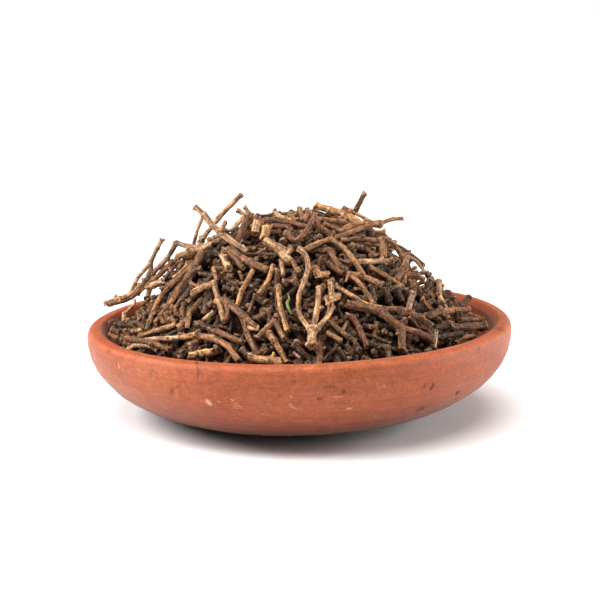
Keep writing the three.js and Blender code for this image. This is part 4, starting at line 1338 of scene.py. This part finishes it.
def bark_material():
    """Dry bark: fibres along the stem, blotches, scurf and fine wrinkles."""
    shader = Shader("dry_bark")
    bark = shader.attribute("bark")
    grain = shader.attribute("grain", "Vector")
    fibres = shader.noise(shader.vector("MULTIPLY", grain, (1.0, 1.0, 0.14)), 1.5, 4.0, 0.62, 0.5)
    hairs = shader.noise(shader.vector("MULTIPLY", grain, (1.0, 1.0, 0.2)), 3.2, 3.0, 0.62)
    blotches = shader.noise(grain, 0.5, 4.0, 0.62)
    scurf = shader.noise(grain, 1.7, 4.0, 0.7)
    wrinkles = shader.noise(shader.vector("MULTIPLY", grain, (0.45, 0.45, 2.0)), 1.0, 3.0, 0.65)
    pale = shader.mix(1.0, bark, (2.0, 1.9, 1.8, 1.0), "MULTIPLY")
    pale = shader.mix(0.6, pale, screen(232, 205, 177))
    colour = shader.shade(bark, fibres, 0.38, 0.62, 0.34, 1.6)
    colour = shader.shade(colour, wrinkles, 0.38, 0.6, 0.6, 1.2)
    colour = shader.cover(colour, blotches, 0.48, 0.62, 0.6, screen(72, 46, 30))
    colour = shader.cover(colour, hairs, 0.54, 0.7, 0.5, pale)
    colour = shader.cover(colour, scurf, 0.56, 0.7, 0.6, pale)
    normal = shader.relief([(fibres, 0.8), (hairs, 0.25), (wrinkles, 0.6), (scurf, 0.5)], 1.0, 0.0009)
    return shader.finish(colour, shader.level(blotches, 0.3, 0.7, 0.5, 0.65), normal, 0.22)


SKIN_DEPTHS = np.arange(-66, 10, 0.05)


def on_bowl(pixel):
    """The point of the bowl's outside that shows at a pixel, in the bowl's own frame."""
    x, y, z = point_at(pixel, SKIN_DEPTHS)
    own, up = into_bowl(x, z)
    reach = np.hypot(own, y)
    lip = np.clip((up - BELLY_HEIGHT) / (LIP_HEIGHT - BELLY_HEIGHT), 0, 1)
    over = LIP_RADIUS + (BOWL_RADIUS - LIP_RADIUS) * np.sqrt(1 - lip**2)
    skin = np.where(up > BELLY_HEIGHT, over, wall_radius(up, BOWL_RADIUS, BELLY_HEIGHT, 0))
    inside = np.flatnonzero((reach < skin) & (up < LIP_HEIGHT))
    at = inside[0] if len(inside) else int(np.argmin(reach - skin))
    return np.array([own[at], y[at], up[at]])


# Dents in the bowl, by pixel: [across, down, reach, depth, tone, aspect]. Reach and depth are in
# millimetres, tone is what the colour is multiplied by, and aspect is width over height.
BOWL_DENTS = [
    (197.5, 363, 0.9, 0.5, 0.75, 0.6),
    (203, 362.5, 1.1, 0.35, 1.1, 1.6),
    (108.7, 352, 0.9, 0.3, 0.9, 0.5),
    (172.8, 391, 1.2, 0.35, 0.9, 0.8),
    (181, 385, 1.3, 0.25, 1.08, 0.8),
    (118, 365, 0.9, 0.12, 1.15, 1.0),
    (309, 369, 1.8, 0.0, 1.2, 1.2),
    (343, 391.3, 0.9, 0.3, 0.8, 1.2),
    (424.3, 384.9, 0.8, 0.3, 0.8, 0.8),
    (431, 387, 1.0, 0.35, 0.8, 0.5),
    (456.9, 393, 0.9, 0.35, 0.8, 1.0),
    (325, 368, 1.3, 0.12, 0.88, 1.4),
    (418.5, 409, 1.4, 0.4, 0.75, 2.6),
    (170, 418.5, 1.5, 0.12, 0.85, 2.2),
    (498, 329, 1.8, 0.5, 0.85, 1.3),
    (329, 386.4, 1.2, 0.15, 0.86, 3.0),
    (338, 388.5, 1.1, 0.15, 0.86, 2.0),
]

# Cracks and pits, then pale scuffs and chips, as lines by pixel: [reach, strength, pixels]. Reach
# is in millimetres.
CLAY_CRACKS = [
    (0.34, 0.8, [(197.2, 361.5), (197.4, 367), (198.6, 372), (198.7, 378)]),
    (0.5, 0.3, [(184.5, 382), (178, 387), (171.5, 392), (169.5, 398)]),
    (0.4, 0.4, [(125, 367), (126.2, 373)]),
    (0.5, 0.5, [(108.2, 349.5), (109, 354)]),
    (0.45, 0.7, [(151, 374), (152, 374.8)]),
    (0.32, 0.9, [(432.2, 381.5), (433, 385), (430, 391)]),
    (0.32, 0.7, [(424.8, 383), (424, 387)]),
    (0.45, 0.9, [(456.6, 394), (457.8, 392.8)]),
    (0.3, 1.0, [(414.5, 409), (419, 408.6), (423.5, 409.3)]),
    (0.28, 0.8, [(421.4, 407.3), (420.6, 410.6)]),
    (0.22, 0.6, [(324.6, 388), (329.5, 386), (338, 387.8), (343.6, 391.4)]),
    (0.4, 0.6, [(342.6, 391), (344.2, 391.8)]),
    (0.45, 0.7, [(318.6, 399.2), (321.6, 398.2)]),
    (0.3, 0.8, [(478.1, 347), (478.3, 350)]),
    (0.4, 0.5, [(294, 381), (295, 381.3)]),
    (0.4, 0.5, [(494, 331), (499, 328.4), (503, 329)]),
]
CLAY_SCUFFS = [
    (0.75, 1.0, [(207.6, 401.4), (209.4, 403.6)]),
    (0.3, 0.4, [(218.4, 401.5), (219.6, 401.8)]),
    (0.32, 0.6, [(231.4, 399.8), (233, 400.2)]),
    (0.3, 0.4, [(235.6, 403.6), (241, 407.6)]),
    (0.28, 0.35, [(233.6, 405.6), (237, 408.4)]),
    (0.3, 0.5, [(290.6, 396.6), (291.6, 397.2)]),
    (0.4, 0.35, [(289.6, 404.2), (292, 407.4), (296, 409)]),
    (0.4, 0.4, [(304.6, 369.6), (311.6, 369.4), (313.6, 366)]),
    (0.28, 0.4, [(333, 396.9), (342, 396.7)]),
    (0.5, 0.7, [(347.6, 408.7), (350.6, 408.6)]),
    (0.26, 0.3, [(293.6, 421.2), (312, 420.2)]),
    (0.35, 0.4, [(383.6, 386), (384.6, 386.6)]),
    (0.35, 0.4, [(374.6, 416), (376, 416.2)]),
    (0.4, 0.5, [(117.6, 363.6), (118.8, 367.6)]),
    (0.3, 0.3, [(137, 369), (139.6, 370.4)]),
    (0.26, 0.3, [(262, 414), (268, 414.6)]),
]


LINE_CORE = 0.3  # of its reach, over which a line has its full strength
LINE_EDGE = 1.4  # of its reach, where it ends
LINE_WAVER = 1.4  # how far its edges waver, in millimetres


def clay_lines(shader, place, uneven, lines):
    """How much of each place on the clay lies on one of the lines, from 0 to 1."""
    total = 0.0
    waver = shader.maths("MULTIPLY", shader.maths("SUBTRACT", uneven, 0.5), LINE_WAVER)
    for reach, strength, pixels in lines:
        points = []
        for pixel in pixels:
            own, y, up = on_bowl(pixel)
            x, z = out_of_bowl(own, up)
            points.append(np.array([x + SHIFT, y, z]))
        for start, end in zip(points, points[1:]):
            along = end - start
            apart = shader.vector("SUBTRACT", place, tuple(start))
            share = shader.vector("DOT_PRODUCT", apart, tuple(along / float(along @ along)))
            share = shader.level(share, 0.0, 1.0, 0.0, 1.0)
            nearest = shader.vector("SCALE", tuple(along), share)
            away = shader.vector("LENGTH", shader.vector("SUBTRACT", apart, nearest))
            away = shader.maths("ADD", away, waver)
            line = shader.level(away, LINE_CORE * reach, LINE_EDGE * reach, strength, 0.0)
            total = shader.maths("MAXIMUM", total, line)
    return total


def clay_material():
    """Unglazed red clay, turned on a wheel: lines, blotches, grit, pits, cracks and scuffs."""
    shader = Shader("unglazed_clay")
    place = shader.vector("MULTIPLY", shader.place(), (1 / METRES, 1 / METRES, 1 / METRES))
    tone = shader.attribute("tone")
    clouds = shader.noise(place, 0.035, 3.0, 0.5)
    patches = shader.noise(place, 0.13, 5.0, 0.68, 0.5)
    turned = shader.noise(shader.vector("MULTIPLY", place, (0.03, 0.03, 1.3)), 1.0, 5.0, 0.7)
    mottle = shader.noise(place, 0.32, 3.0, 0.6)
    grit = shader.noise(place, 0.7, 6.0, 0.75)
    sand = shader.noise(place, 1.7, 4.0, 0.75)
    pits = shader.noise(place, 1.3, 2.0, 0.5)
    specks = shader.noise(place, 1.9, 2.0, 0.5, 0.4)
    cracks = clay_lines(shader, place, grit, CLAY_CRACKS)
    scuffs = clay_lines(shader, place, grit, CLAY_SCUFFS)
    colour = shader.cover(screen(158, 73, 33), clouds, 0.35, 0.65, 1.0, screen(164, 82, 42))
    colour = shader.cover(colour, patches, 0.42, 0.66, 0.5, screen(143, 65, 36))
    colour = shader.shade(colour, turned, 0.3, 0.7, 0.86, 1.13)
    colour = shader.shade(colour, mottle, 0.35, 0.65, 0.91, 1.08)
    colour = shader.shade(colour, grit, 0.34, 0.66, 0.81, 1.18)
    colour = shader.shade(colour, sand, 0.34, 0.66, 0.75, 1.25)
    colour = shader.cover(colour, pits, 0.69, 0.74, 0.55, screen(96, 46, 28))
    colour = shader.cover(colour, specks, 0.72, 0.77, 0.6, screen(224, 160, 126))
    colour = shader.mix(shader.maths("MULTIPLY", cracks, 0.8), colour, screen(92, 42, 24))
    colour = shader.mix(shader.maths("MULTIPLY", scuffs, 0.75), colour, screen(226, 168, 140))
    # the tone carries the dents' marks, painted shade at the foot and a painted highlight along the lip
    colour = shader.mix(1.0, colour, tone, "MULTIPLY")
    hollows = shader.level(pits, 0.67, 0.75, 0.0, 0.3)
    parts = [(turned, 0.8), (grit, 0.5), (sand, 0.25), (cracks, -0.6), (hollows, -1.0)]
    normal = shader.relief(parts, 0.7, 0.0005)
    sheen = {"Sheen Weight": 0.25, "Sheen Roughness": 0.28, "Sheen Tint": (1.0, 0.8, 0.7, 1.0)}
    shader.feed(shader.surface, sheen)
    return shader.finish(colour, shader.level(patches, 0.3, 0.7, 0.48, 0.62), normal, 0.38)


def plain_material(name, grain, spread, colours, roughness, bump, gloss):
    """A material of two colours in soft patches, with bumps of the same size.

    Grain is the patches' scale, detail and roughness, spread is the share of them that lies
    between the two colours, and bump is the bumps' strength and depth.
    """
    shader = Shader(name)
    patches = shader.noise(shader.place(), *grain)
    colour = shader.cover(colours[0], patches, 0.5 - spread, 0.5 + spread, 1.0, colours[1])
    return shader.finish(colour, roughness, shader.relief([(patches, 1.0)], *bump), gloss)


LEAF_COLOURS = (screen(78, 92, 36), screen(122, 128, 62))
# the core's colours: dust, made near black as painted shade in the heap's depths
CORE_DUST_AND_SHADE_COLOURS = (screen(38, 25, 20), screen(74, 50, 38))
FLOOR_COLOURS = ((0.9, 0.9, 0.9, 1.0), (0.92, 0.92, 0.92, 1.0))


# ---------------------------------------------------------------- the bowl as a fine mesh

OUTER_RINGS = 112
RIM_RINGS = 14
INNER_RINGS = 34
OUTSIDE_RINGS = OUTER_RINGS + 18  # as far as dents reach over the lip
# the ring along the lip's outer edge that is coloured paler, a painted highlight
LIP_HIGHLIGHT_RING = OUTER_RINGS + 7
FRONT_COLUMNS = 400
BACK_COLUMNS = 120
PLAIN_RADIUS = 20  # near the axis the clay grows smoother
FOOT_SHADE = 0.26  # the outside's tone at its foot, painted shade that darkens it towards the floor
SHADE_HEIGHT = 19  # where the painted shade ends and it has its full tone, in millimetres
INSIDE_SHADE = 0.8
SHADE_WARMTH = [1.0, 1.15, 1.25]  # the tone's shade, the painted shade at the foot included, takes more from green and blue than from red

# The wheel's lines: [rise, pitch along the section, phase, drift, waves of drift round the bowl,
# their phase]. The hand's unevenness: [rise, waves round, pitch along, phase, second pitch, phase].
WHEEL_LINES = [(0.035, 0.62, 0.0, 0.8, 1, 1.0), (0.03, 1.37, 2.0, 0.6, 2, 0.0)]
HAND_WAVES = [(0.10, 3, 9.0, 0.0, 7.0, 0.0), (0.06, 7, -5.0, 1.3, 4.1, 0.4), (0.025, 23, 2.1, 0.0, 1.9, 2.2)]


def bowl_relief(run, turns):
    """How far the clay stands out, by ring and column."""
    relief = np.zeros((len(run), len(turns)))
    for rise, pitch, phase, drift, waves, start in WHEEL_LINES:
        relief += rise * np.sin(run / pitch + drift * np.sin(waves * turns + start)[None, :] + phase)
    for rise, waves, pitch, phase, second, start in HAND_WAVES:
        relief += rise * np.sin(waves * turns + run / pitch + phase) * np.sin(run / second + start)
    return relief


def bowl_piece():
    """The bowl, finest at the front, with its wheel lines, dents and marks."""
    section = bowl_section(OUTER_RINGS, RIM_RINGS, INNER_RINGS)
    front = np.linspace(-math.pi * 0.98, -math.pi * 0.02, FRONT_COLUMNS, endpoint=False)
    back = np.linspace(-math.pi * 0.02, math.pi * 1.02, BACK_COLUMNS, endpoint=False)
    turns = np.concatenate([front, back])
    around = np.stack([np.cos(turns), np.sin(turns)], axis=-1)
    points = np.empty((len(section), len(turns), 3))
    points[:, :, :2] = section[:, 0][:, None, None] * around
    points[:, :, 2] = section[:, 1][:, None]
    flow = np.gradient(section, axis=0)
    flow /= np.linalg.norm(flow, axis=1)[:, None] + 1e-12
    normals = np.empty_like(points)
    normals[:, :, :2] = flow[:, 1][:, None, None] * around
    normals[:, :, 2] = -flow[:, 0][:, None]
    run = np.concatenate([[0], np.cumsum(np.linalg.norm(np.diff(section, axis=0), axis=1))])[:, None]

    relief = bowl_relief(run, turns) * smooth(section[:, 0] / PLAIN_RADIUS)[:, None]
    outside = np.arange(len(section))[:, None] < OUTSIDE_RINGS
    # painted shade: the outside grows darker towards its foot
    painted_foot_shade = FOOT_SHADE + (1 - FOOT_SHADE) * smooth(section[:, 1] / SHADE_HEIGHT)[:, None]
    tone = np.where(outside, painted_foot_shade, INSIDE_SHADE) * np.ones((1, len(turns)))
    # a painted highlight along the lip's edge
    tone *= 1 + 0.2 * hump(run - run[LIP_HIGHLIGHT_RING], 0.7)
    for across, down, size, depth, shade, aspect in BOWL_DENTS:
        apart = points - on_bowl((across, down))
        upward = np.abs(apart[:, :, 2]) * math.sqrt(aspect) / size
        level = np.hypot(apart[:, :, 0], apart[:, :, 1]) / (size * math.sqrt(aspect))
        share = smooth(1.35 - np.hypot(level, upward)) * outside
        relief -= depth * share
        tone *= 1 + (shade - 1) * share
    points += relief[:, :, None] * normals
    x, z = out_of_bowl(points[:, :, 0], points[:, :, 2])
    points[:, :, 0] = x + SHIFT
    points[:, :, 2] = np.maximum(z, 0)

    # the section's ends, on the axis, are left to the caps
    uvs = np.empty((len(section) - 2, len(turns) + 1, 2))
    uvs[:, :, 0] = np.append((turns - turns[0]) / (2 * math.pi), 1.0)
    uvs[:, :, 1] = (run[1:-1] - run[1]) / (run[-2] - run[1])
    piece = mesh_piece("clay_bowl", points[1:-1].reshape(-1, 3), [grid_faces(uvs, turned=True)])
    set_colours(piece, "tone", tone[1:-1].reshape(-1, 1) ** np.array([SHADE_WARMTH]))
    return piece


# ---------------------------------------------------------------- the heap's core

CORE_COLUMNS = 96
UNDER_RINGS = 10
TOP_RINGS = 40
CORE_BOTTOM = 15.0  # the height on the wall up to which the core follows it, clear of it
CORE_CLEAR = 2 * WALL_GAP


def core_piece():
    """The dark middle of the heap, dust darkened as painted shade under the stems: a lumpy cap over a
    rounded underside, clear of the bowl.
    """
    ups = FLOOR_THICKNESS + np.linspace(0.03, 1.0, UNDER_RINGS) ** 2 * (CORE_BOTTOM - FLOOR_THICKNESS)
    under = inner_radius(ups) - CORE_CLEAR
    reach = np.concatenate([under, under[-1] * np.linspace(0.97, 0.02, TOP_RINGS)])[:, None]
    up = np.concatenate([ups + WALL_GAP, np.zeros(TOP_RINGS)])[:, None]
    turns = 2 * math.pi * np.arange(CORE_COLUMNS) / CORE_COLUMNS
    x = reach * np.cos(turns)
    y = reach * np.sin(turns)
    leaned, z = out_of_bowl(x, up)
    lumps = np.sin(x / 1.9 + 2 * np.sin(y / 3.1)) * np.sin(y / 2.3 + np.sin(x / 2.7)) * 0.7
    top = heap_top(x, y) - CORE_DEPTH + lumps - 0.4
    above = np.arange(len(reach))[:, None] >= UNDER_RINGS
    points = np.stack([np.where(above, x, leaned) + SHIFT, y, np.where(above, top, z)], axis=-1)
    uvs = np.empty((len(reach), CORE_COLUMNS + 1, 2))
    uvs[:, :, 0] = np.arange(CORE_COLUMNS + 1) / CORE_COLUMNS
    uvs[:, :, 1] = np.linspace(0, 1, len(reach))[:, None]
    return mesh_piece("heap_core", points.reshape(-1, 3), [grid_faces(uvs, turned=True)])


# ---------------------------------------------------------------- the stems as meshes


def blocks_sight(beads):
    """Whether any of a stem's beads shows at a pixel that is kept clear."""
    x, y, z = beads[:, 0], beads[:, 1], beads[:, 2] - VIEW_AIM
    reach = VIEW_DISTANCE + y * VIEW_RISE - z * VIEW_FALL
    across = VIEW_MIDDLE[0] + VIEW_FOCAL * x / reach
    down = VIEW_MIDDLE[1] - VIEW_FOCAL * (z * VIEW_RISE + y * VIEW_FALL) / reach
    wide = VIEW_FOCAL * beads[:, 3] / reach
    for pixel_across, pixel_down, size in CLEAR_SIGHTS:
        if np.any(np.hypot(across - pixel_across, down - pixel_down) < wide + size):
            return True
    return False


def more_stems():
    """The stems that the solids leave out, placed as the shown ones are."""
    stems = []
    for name, limbs in MORE_STEMS.items():
        kind = "front_forks" if len(limbs) > 1 else "front_rods"
        placed = place_shown(limbs)
        for one in placed:
            one["points"] = np.array(one["points"]) + np.array([0, SET_BACK.get(name, 0.0), 0])
        stems.append({"name": name, "kind": kind, "limbs": placed})
    return stems


def is_shown(stem):
    return stem["name"] in SHOWN_STEMS or stem["name"] in MORE_STEMS


def redraw(name, limbs):
    """Changes a laid stem where its looks alone ask for it."""
    for one, share in zip(limbs, SLIMMER.get(name, ())):
        one["radius"] *= share
    for one in limbs if name in BLUNT else ():
        one["ends"] = one["ends"].replace("t", "c")
    if name in FACING:
        limbs[0]["points"][0][1] -= FACING[name]
        if len(limbs) == 1:
            limbs[0]["points"][-1][1] += FACING[name] / 2


def loose_bark():
    return BARKS[LOOSE_BARKS[looks.randint(len(LOOSE_BARKS))]] * LOOSE_WARMTH


def stem_meshes(stem, beads):
    """The meshes of a stem's limbs, and of the shoots on them."""
    shown = is_shown(stem)
    if shown:
        tint = BARKS[BARK_OF.get(stem["name"], "brown")] * looks.uniform(*SHOWN_SHADE)
        detail = 2
    else:
        depth = float(np.mean(heap_top(beads[:, 0], beads[:, 1]) - beads[:, 2]))
        # painted shade: loose stems lying deeper in the heap are coloured darker
        painted_deep_shade = np.clip(1.2 - PAINTED_DEPTH_SHADE * depth, 0.22, 1.0)
        tint = loose_bark() * painted_deep_shade * looks.uniform(*LOOSE_SHADE)
        detail = 1 if depth < SHALLOW else 0
    tint = tint * looks.uniform(*TINT_SPREAD, 3)
    meshes = []
    for one in stem["limbs"]:
        if one["ends"] == "kn" and stem["kind"] == "stubs":
            sunk = np.asarray(one["points"], float)
            sunk = sunk + (sunk[1] - sunk[0]) * looks.uniform(0.05, 0.35)
            one = {**one, "radius": one["radius"] * looks.uniform(0.55, 0.9), "points": sunk}
        made, joints = limb_mesh(one, tint, detail)
        if stem["kind"] == "stubs" and looks.uniform() < SHOOT_ODDS:
            joints = [looks.uniform(0.25, 0.5) * 2.5]
        if shown and one["radius"] < BUDDING_RADIUS:
            joints = []
        meshes.append(made)
        for bud in buds_of(one, joints):
            meshes.append(limb_mesh(bud, tint * 0.9, min(detail, 1))[0])
    return meshes


def bare_core(laid):
    """Which of the field's cells no laid bead is in or beside."""
    covered = np.zeros(FIELD_COUNT * FIELD_COUNT, bool)
    covered[cell_of(laid[:, 0], laid[:, 1])] = True
    covered = covered.reshape(FIELD_COUNT, FIELD_COUNT)
    for axis in (0, 1):
        covered = covered | np.roll(covered, 1, axis) | np.roll(covered, -1, axis)
    return ~covered.ravel()


def filling_meshes(bare):
    """Short pieces on the core, in the hollows left where sights are kept clear."""
    meshes = []
    for _ in range(FILL_TRIES):
        reach = FILL_REACH * math.sqrt(looks.uniform())
        turn = looks.uniform(0, ANY_TURN)
        heading = looks.uniform(0, ANY_TURN)
        half = looks.uniform(1.6, 4.0)
        radius = looks.uniform(0.5, 1.05)
        lift = looks.uniform(0.0, 3.0)
        share = looks.uniform(0.4, 0.95)
        tint = loose_bark() * share
        x = reach * math.cos(turn)
        y = reach * math.sin(turn)
        if len(meshes) == FILL_COUNT or not bare[cell_of(np.array(x), np.array(y))]:
            continue
        points = np.empty((3, 3))
        points[:, 0] = x + half * math.cos(heading) * np.array([-1, 0, 1])
        points[:, 1] = y + half * math.sin(heading) * np.array([-1, 0, 1])
        points[:, 2] = heap_top(points[:, 0], points[:, 1]) - CORE_DEPTH + radius + lift
        piece = {"radius": radius, "ends": "kc", "points": points}
        beads = beads_of(piece)
        out = crowding(beads[:, 0], beads[:, 1], beads[:, 2], radius * KNOB_FLARE)[0]
        if not blocks_sight(beads) and np.all(out <= 0):
            meshes.append(limb_mesh(piece, tint, 1)[0])
    return meshes


def crumb_meshes():
    """Crumbs of bark and broken tips that have come to rest in the gaps."""
    meshes = []
    for _ in range(CRUMB_TRIES):
        reach = DROP_REACH * math.sqrt(looks.uniform())
        turn = looks.uniform(0, ANY_TURN)
        x = reach * math.cos(turn)
        y = reach * math.sin(turn)
        z = height[cell_of(np.array(x), np.array(y))] + 0.3
        way = looks.normal(0, 1, 3) * np.array([1, 1, 0.5])
        way *= looks.uniform(0.6, 1.6) / np.linalg.norm(way)
        radius = looks.uniform(0.3, 0.75)
        if crowding(x, y, z, CRUMB_ROOM)[0] < 0 and heap_top(x, y) - z > CRUMB_COVER:
            middle = np.array([x, y, z])
            crumb = {"radius": radius, "ends": "kc", "points": np.array([middle - way, middle + way])}
            meshes.append(limb_mesh(crumb, loose_bark() * looks.uniform(*CRUMB_SHADE), 0)[0])
    return meshes


def leaf_meshes():
    """Flat shreds of green leaf."""
    meshes = []
    for size, path in LEAVES:
        points = np.array([point_at(pixel, depth_at(pixel) - LEAF_FORWARD) for pixel in path])
        made = limb_mesh({"radius": size, "ends": "tt", "points": points}, PITH, 2)[0]
        middle = made["points"].mean(axis=1, keepdims=True)
        made["points"] = middle + (made["points"] - middle) * np.array([1.0, LEAF_FLATNESS, 1.0])
        meshes.append(made)
    return meshes


# ---------------------------------------------------------------- making the pieces

kinds = {}
laid = []
for stem in build_heap() + more_stems():
    beads = beads_of_all(stem["limbs"])
    if is_shown(stem) or not blocks_sight(beads):
        laid.append(beads)
        redraw(stem["name"], stem["limbs"])
        kinds.setdefault(stem["kind"], []).extend(stem_meshes(stem, beads))
kinds["stubs"] += filling_meshes(bare_core(np.vstack(laid)))
kinds["crumbs"] = crumb_meshes()
kinds["leaves"] = leaf_meshes()

bark = bark_material()
leaf = plain_material("dry_leaf", (900.0, 3.0, 0.6), 0.15, LEAF_COLOURS, 0.7, (0.5, 0.0001), 0.3)
for kind, limbs in kinds.items():
    piece = stem_piece("stems_" + kind, limbs)
    piece.data.materials.append(leaf if kind == "leaves" else bark)
    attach(piece, "root")
    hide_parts("stems")

core = core_piece()
# the core's material is dust darkened as painted shade
core_dust_and_shade = plain_material("heap_dust_and_shade", (600.0, 4.0, 0.6), 0.15, CORE_DUST_AND_SHADE_COLOURS, 0.9, (0.8, 0.0006), 0.2)
core.data.materials.append(core_dust_and_shade)
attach(core, "root")
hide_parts("stems")

bowl = bowl_piece()
bowl.data.materials.append(clay_material())
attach(bowl, "root")
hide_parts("bowl")

# ---------------------------------------------------------------- floor, light and camera

FLOOR_HALF = 20.0  # in metres, as are the lights' places and sizes
FLOOR_FRONT = -4.0
FLOOR_BACK = 40.0
WORLD_STRENGTH = 0.18
LIGHT_AIM = (0.0, 0.0, 0.03)
SUN_STRENGTH = 3.05
SUN_ANGLE = math.radians(50)
SUN_TURN = (math.radians(16), math.radians(-3), 0.0)
SENSOR_WIDTH = 36.0
PICTURE_WIDTH = 600


def softbox(name, place, size, power):
    """A square soft light that looks at the bowl, in metres and watts."""
    data = bpy.data.lights.new(name, "AREA")
    data.shape = "SQUARE"
    data.size = size
    data.energy = power
    light = add_object(name, data)
    light.location = place
    away = np.array(LIGHT_AIM) - np.array(place)
    yaw = math.atan2(away[1], away[0]) - math.pi / 2
    pitch = math.atan2(math.hypot(away[0], away[1]), -away[2])
    light.rotation_euler = (pitch, 0.0, yaw)


floor_mesh = bpy.data.meshes.new("floor")
floor_corners = [
    (-FLOOR_HALF, FLOOR_FRONT, 0), (FLOOR_HALF, FLOOR_FRONT, 0), (FLOOR_HALF, FLOOR_BACK, 0),
    (-FLOOR_HALF, FLOOR_BACK, 0),
]
floor_mesh.from_pydata(floor_corners, [], [(0, 1, 2, 3)])
floor = add_object("floor", floor_mesh)
pale = plain_material("pale_floor", (40.0, 2.0, 0.5), 0.2, FLOOR_COLOURS, 0.9, (0.05, 0.0005), 0.1)
floor.data.materials.append(pale)

world = bpy.data.worlds.new("studio")
world.use_nodes = True
background = world.node_tree.nodes["Background"]
background.inputs["Color"].default_value = (1.0, 1.0, 1.0, 1.0)
background.inputs["Strength"].default_value = WORLD_STRENGTH
scene.world = world

softbox("key", (-0.66, -0.04, 0.48), 0.44, 8.8)
softbox("fill", (0.73, 0.16, 0.20), 0.3, 5.2)

sun_data = bpy.data.lights.new("overhead", "SUN")
sun_data.energy = SUN_STRENGTH
sun_data.angle = SUN_ANGLE
sun = add_object("overhead", sun_data)
sun.rotation_euler = SUN_TURN

camera_data = bpy.data.cameras.new("camera")
camera_data.sensor_width = SENSOR_WIDTH
camera_data.lens = VIEW_FOCAL * SENSOR_WIDTH / PICTURE_WIDTH
camera_data.clip_start = 0.01
camera = add_object("camera", camera_data)
camera.location = (
    (SHIFT + (PICTURE_WIDTH / 2 - VIEW_MIDDLE[0]) * VIEW_SCALE) * METRES,
    -VIEW_DISTANCE * VIEW_RISE * METRES,
    (VIEW_AIM + VIEW_DISTANCE * VIEW_FALL) * METRES,
)
camera.rotation_euler = (math.pi / 2 - VIEW_TILT, 0.0, 0.0)
scene.camera = camera
scene.view_settings.view_transform = "Standard"
scene.view_settings.look = "None"
scene.view_settings.exposure = 0.0
